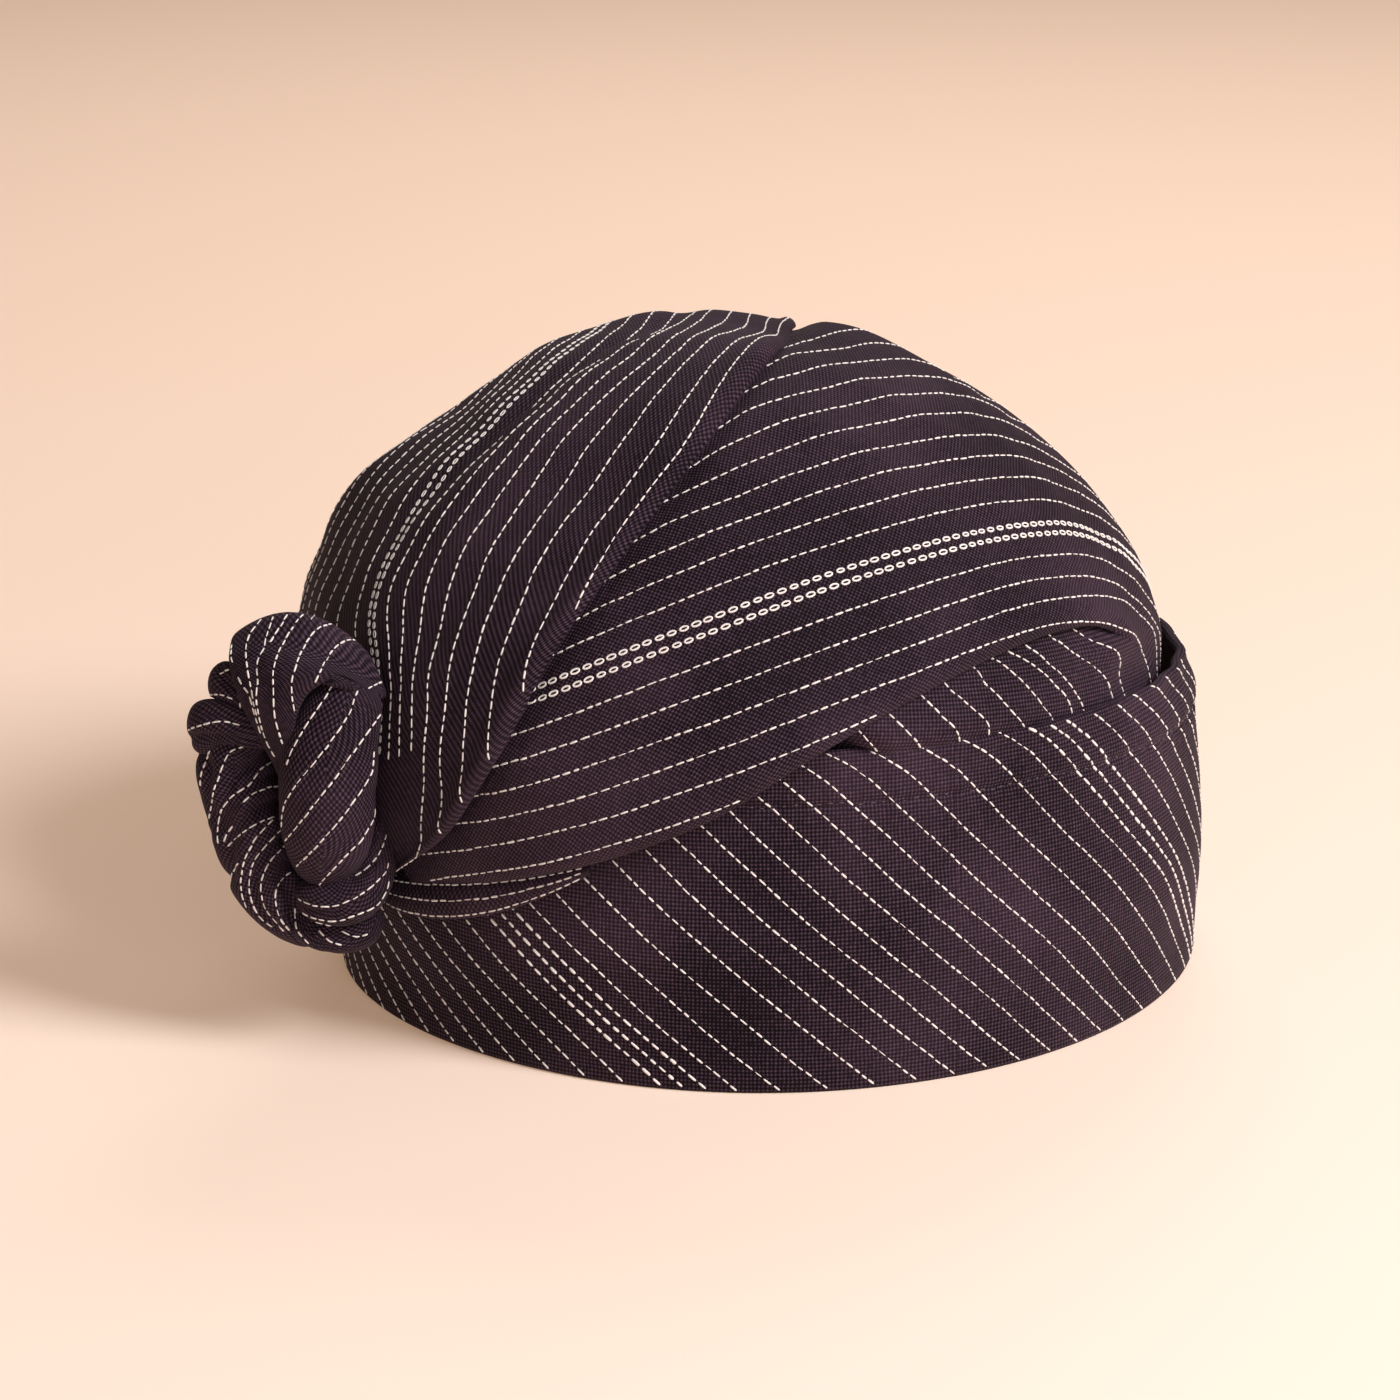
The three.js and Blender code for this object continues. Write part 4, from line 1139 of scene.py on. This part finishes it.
# Valleys pressed into each roll: on each line a depth, a width and the curve (across, up) it follows.
KNOT_CREASES = {
    "knot_strap": """
    0.9 0.9  5.4 40.9 2.1 37.1 0.2 34.5 -1.4 31 -1 26.9
    0.8 0.9  -5.5 28.9 -4.1 26.9 -3.1 22.8 -1.4 15.8 1.6 8.8
    0.6 1.2  1.3 27.5 0.8 21.6 1.5 14.6 2.9 9.4
    0.7 1  17.4 32.7 14.7 28.7 11.9 25.4 9.2 22.8 7.8 19.3
    """,
    "knot_loop": """
    0.5 2.2  17.9 19.3 12.5 9.9 8.1 0.6 5.9 -6.4
    0.7 1.4  22.8 2.3 21.2 -4.1 16.8 -11.1 12.5 -15.8
    """,
    "knot_roll": """
    0.9 1.2  25.6 -16.4 21.7 -21.9 15.2 -25.4 9.8 -25.7 4.9 -23.1
    0.8 1  25.7 -6.4 24.2 -11.4 21.7 -14.6 17.9 -17.5
    """,
    "knot_base": """
    0.8 1.2  5.4 -27.5 8.1 -30.4 11.9 -33.9
    0.7 1.2  9.2 -28.7 13.6 -31 19 -31.6
    """,
    "knot_ring": """
    2.2 1.7  1 11.1 -3.3 8.2 -7.1 5.8 -10.1 0.6 -12 -6.4
    1.5 1.4  2.1 6.4 -2.2 4.7 -6.6 1.2 -9 -3.5 -10.4 -9.9
    2 1.6  2.4 0 -2.5 -2 -6.6 -5.6 -9 -11.1 -9.9 -17.5
    1.3 1.3  2.9 -8.2 -1.7 -12.9 -3.9 -18.1 -3.3 -24 -0.1 -29.2
    2.2 1.7  3.8 -14 2.9 -18.1 3.8 -23.4 5.4 -28.1 8.1 -32.7
    1.4 1.4  -15.9 11.7 -13.7 7.6 -14.2 2.3 -13.4 -3.5
    """,
    "knot_fold": """
    1.1 1.2  -10.4 31 -8.8 27.5 -6 25.1
    1 1.2  -13.7 22.8 -11 21.9 -7.1 19.3 -3.9 16.4
    """,
    "knot_tuck": """
    1.1 1.2  -16.9 14.6 -13.1 14.6 -7.7 14 -2.8 13.5
    0.8 1  -13.7 20.5 -9.9 19.9 -5.5 17.5
    """,
}

# The stripes of each roll that face the near side, each a curve (across, up) on a line of its own.
KNOT_STRIPES = {
    "knot_strap": """
    -1.4 42.4 -2.2 40.9 -3.8 38 -4 34.5 -3.4 30.4 -2.8 26.9 -2 21.6 -1.1 17.5
    1.1 42.7 0.8 40.9 0.2 37.4 -0.1 34.5 -1.3 31.6 -1.1 26.9 -1.4 22.8 -0.9 18.1 0.2 13.5 2.7 8.2
    4.4 43.3 3.7 41.8 2.8 39.8 1.3 36.7 0.1 34.5
    7.6 43.3 5.9 40.4 3.8 35.1 2.6 29.8 2.5 24 2.7 18.1 4.2 11.7
    10.3 44.2 9.5 42.4 9.1 41.2
    15.7 42.1 13.8 41.2 11.1 39.8 8.7 35.7 7.3 30.4 6.5 25.7 6.9 20.2
    18.7 37.7 16.3 36.8 14.1 33.9 12.5 29.2 11.3 26.3
    26.1 28.4 24.2 27.5 22 25.6
    -5.9 28.7 -4.7 26.3 -3.2 24 -2 19.3 -1 14.6
    -7.6 36.3 -7.4 32.7 -5.9 29.5
    """,
    "knot_loop": """
    15.7 28.7 14.4 25.7 12.5 22.2 9.2 17 6.5 12.3 4.4 7.3
    20.2 25.7 19.8 24.3 18.5 19.9 14.7 13.5 10.3 7.6 6.5 2.9 3.9 -1.2 2.8 -6.4
    25 20.5 23.7 18.1 20.1 12.3 15.7 5.3 10.8 -1.2 5.9 -7 2.2 -10.4
    23.4 11.7 23.2 8.8 22.6 5.8 19 -0.6 14.7 -6.4 9.8 -11.7 4.6 -16.1 3.2 -17.5
    23.4 1.8 23.1 -1.2 22.7 -4.4 20.1 -9.4 15.7 -14 10.3 -19.6 9.2 -20.5
    """,
    "knot_roll": """
    24.9 -2.3 25.1 -5.8 24.7 -8.8 23.1 -12.9 20.4 -15.8 17.4 -17.7
    25.7 -13.5 25 -16.1 21.2 -20.5 15.2 -23.9 10.3 -24.2 7 -23.1 4.3 -21.5
    25.7 -18.1 24.9 -21.1 22.3 -24.6 15.2 -27.5 10.3 -27.3 6.5 -25.6 4.6 -23.4
    25 -23.4 24 -26 20.1 -29.6 14.7 -29.1 9.2 -27.8
    """,
    "knot_base": """
    4.3 -24 4.6 -26.6 5.2 -29.8 7.7 -33
    9.8 -29.5 11.1 -31 12.8 -32.6 16.6 -33.8
    14.7 -29.8 17.9 -31.3 21.2 -30.4
    """,
    "knot_ring": """
    -12.6 12 -13.8 10.2 -14.8 7.6 -15.4 5.3 -15.6 2.9
    -4.4 13.3 -6.3 12.3 -8.5 11.1 -10.7 6.4 -12.6 1.2 -14 -4.1
    0.1 9.4 -2.2 7.3 -4.7 3.8 -8.8 0.6 -11 -2.3 -11.9 -6.4 -11.8 -10.5
    2.2 4 -0.1 3.4 -3.3 2 -5.9 -0.3
    0.8 -3.2 -3.9 -5.8 -8.1 -8.8 -9.8 -10.5
    -7.1 -14.3 -8.8 -16.1 -9.7 -18.4
    -8.3 -5.6 -9.6 -7.3 -10.5 -9.4
    0.8 -3.8 -2.8 -8.2 -5.6 -13.5 -6.6 -17.5 -6.8 -21.1 -5.8 -25.4
    2.6 -5.8 -1.4 -10.5 -4 -14.6 -5 -19.6 -4.3 -24.6 -2.2 -27.8 0.8 -30.1
    2.9 -9.8 -0.5 -14.3 -2.3 -19.6 -1.7 -24.6 0.8 -28.4 2.9 -31
    3.8 -16.1 1.6 -18.4 0.7 -22.2 1.5 -26.9 3.8 -30.5
    4.6 -24.6 4.9 -28.7 7 -32.2
    """,
    "knot_fold": """
    -7.6 30.1 -9 29.8 -10.8 28.9
    -13.2 24.4 -10.1 24.4 -6.6 23.2
    -3.9 24 -5.5 22.8 -5.6 20.8
    """,
    "knot_tuck": """
    -17.8 16.5 -14.2 17.4 -10.1 18.2 -7.1 17.8 -3.9 17
    -12 11.7 -9.9 12.3
    """,
}

CAST_FROM = 40.0  # how far from the knot's centre lines are cast on to it


def laid_on(cloth, starts, heading, threads):
    """Stripes on a piece of cloth where lines, cast along a heading, meet it."""
    tree = BVHTree.FromPolygons(
        [v.co for v in cloth.data.vertices], [tuple(p.vertices) for p in cloth.data.polygons]
    )
    hits = [tree.ray_cast(Vector(start), Vector(heading), 1)[:2] for start in to_frame(starts)]
    met = np.array([place is not None for place, _ in hits])
    for start, stop in runs(met):
        path = np.array([hits[k][0] for k in range(start, stop)]) * 1000 - RIM_CENTRE
        normals = np.array([hits[k][1] for k in range(start, stop)])
        normals = normals * -np.sign(normals @ heading)[:, None]
        jumps = np.flatnonzero(distance(np.diff(path, axis=0)) > 2.5) + 1
        for piece, lean in zip(np.split(path, jumps), np.split(normals, jumps)):
            if len(piece) > 3:
                padded = np.pad(lean, ((2, 2), (0, 0)), "edge")
                threads.row(piece, unit(sum(padded[k : k + len(lean)] for k in range(5))))


def knot_stripes(name, cloth, thread):
    """The stripes of one roll, and on its far left side too where that is in the open."""
    threads = Threads()
    heading = -unit(KNOT_OUT + KNOT_TILT * KNOT_UP)
    for line in curves(KNOT_STRIPES[name]):
        places = along(line, np.linspace(0, 1, 90))
        places = np.concatenate([places, np.full((90, 1), CAST_FROM)], 1)
        laid_on(cloth, from_knot(places), heading, threads)
    if name in OPEN_LEFT:
        for up in np.arange(-46, 54, PITCH):
            out = np.linspace(-22, -3, 60)
            places = np.stack([np.full(60, -CAST_FROM), up - 1.3 * out, out], -1)
            laid_on(cloth, from_knot(places), KNOT_ACROSS, threads)
    return threads.piece(name + "_stripes", thread)


def make_knot(cloth, thread):
    for name in ("knot_strap", *KNOT_ROLLS):
        if name == "knot_strap":
            piece = make_strap(cloth)
        else:
            piece = KNOT_ROLLS[name].mesh(name, *ROLL_CELLS[name], cloth)
        yield name, piece, knot_stripes(name, piece, thread)


# ---- assembly

DARK, LIGHT = (0.0030, 0.0011, 0.0030), (0.150, 0.086, 0.138)
cloth = cloth_material("striped_cloth", DARK, LIGHT)
thread = thread_material("stripe_thread", (0.62, 0.54, 0.54), (1.0, 0.97, 0.95))
hem_thread = thread_material("hem_thread", (0.020, 0.013, 0.018), (0.13, 0.09, 0.11))

# The wrapped panels as they were cut: width and length in metres.
SHEETS = {"crown_front": (0.15, 0.33), "crown_over": (0.16, 0.33)}


def place(slot, piece, *stripes):
    """Rides a cloth piece and its stripes on the root body and hides the slot's own solid, for which the
    cloth stands.
    """
    for each in (piece, *stripes):
        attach(each, "root")
    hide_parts(slot)


place("band", make_band(cloth), make_band_stripes(thread), make_hem_stitching(hem_thread))
place("crown_under", make_under(cloth), make_pocket_stripes(thread))
front = make_sheet("crown_front_cloth", cloth, 240, front_face, front_lining, front_width, front_cloth)
place("crown_front", front, make_front_stripes(thread))
over = make_sheet("crown_over_cloth", cloth, 260, over_face, over_lining, over_width, over_cloth)
place("crown_over", over, make_over_stripes(thread))
for name, flat in SHEETS.items():
    sheet, stripes = bpy.data.objects[name + "_cloth"], bpy.data.objects[name + "_stripes"]
place("tuck_roll", *make_tuck_roll(cloth, thread))
for name, piece, stripes in make_knot(cloth, thread):
    place("knot_fold" if name == "knot_tuck" else name, piece, stripes)

make_stage()
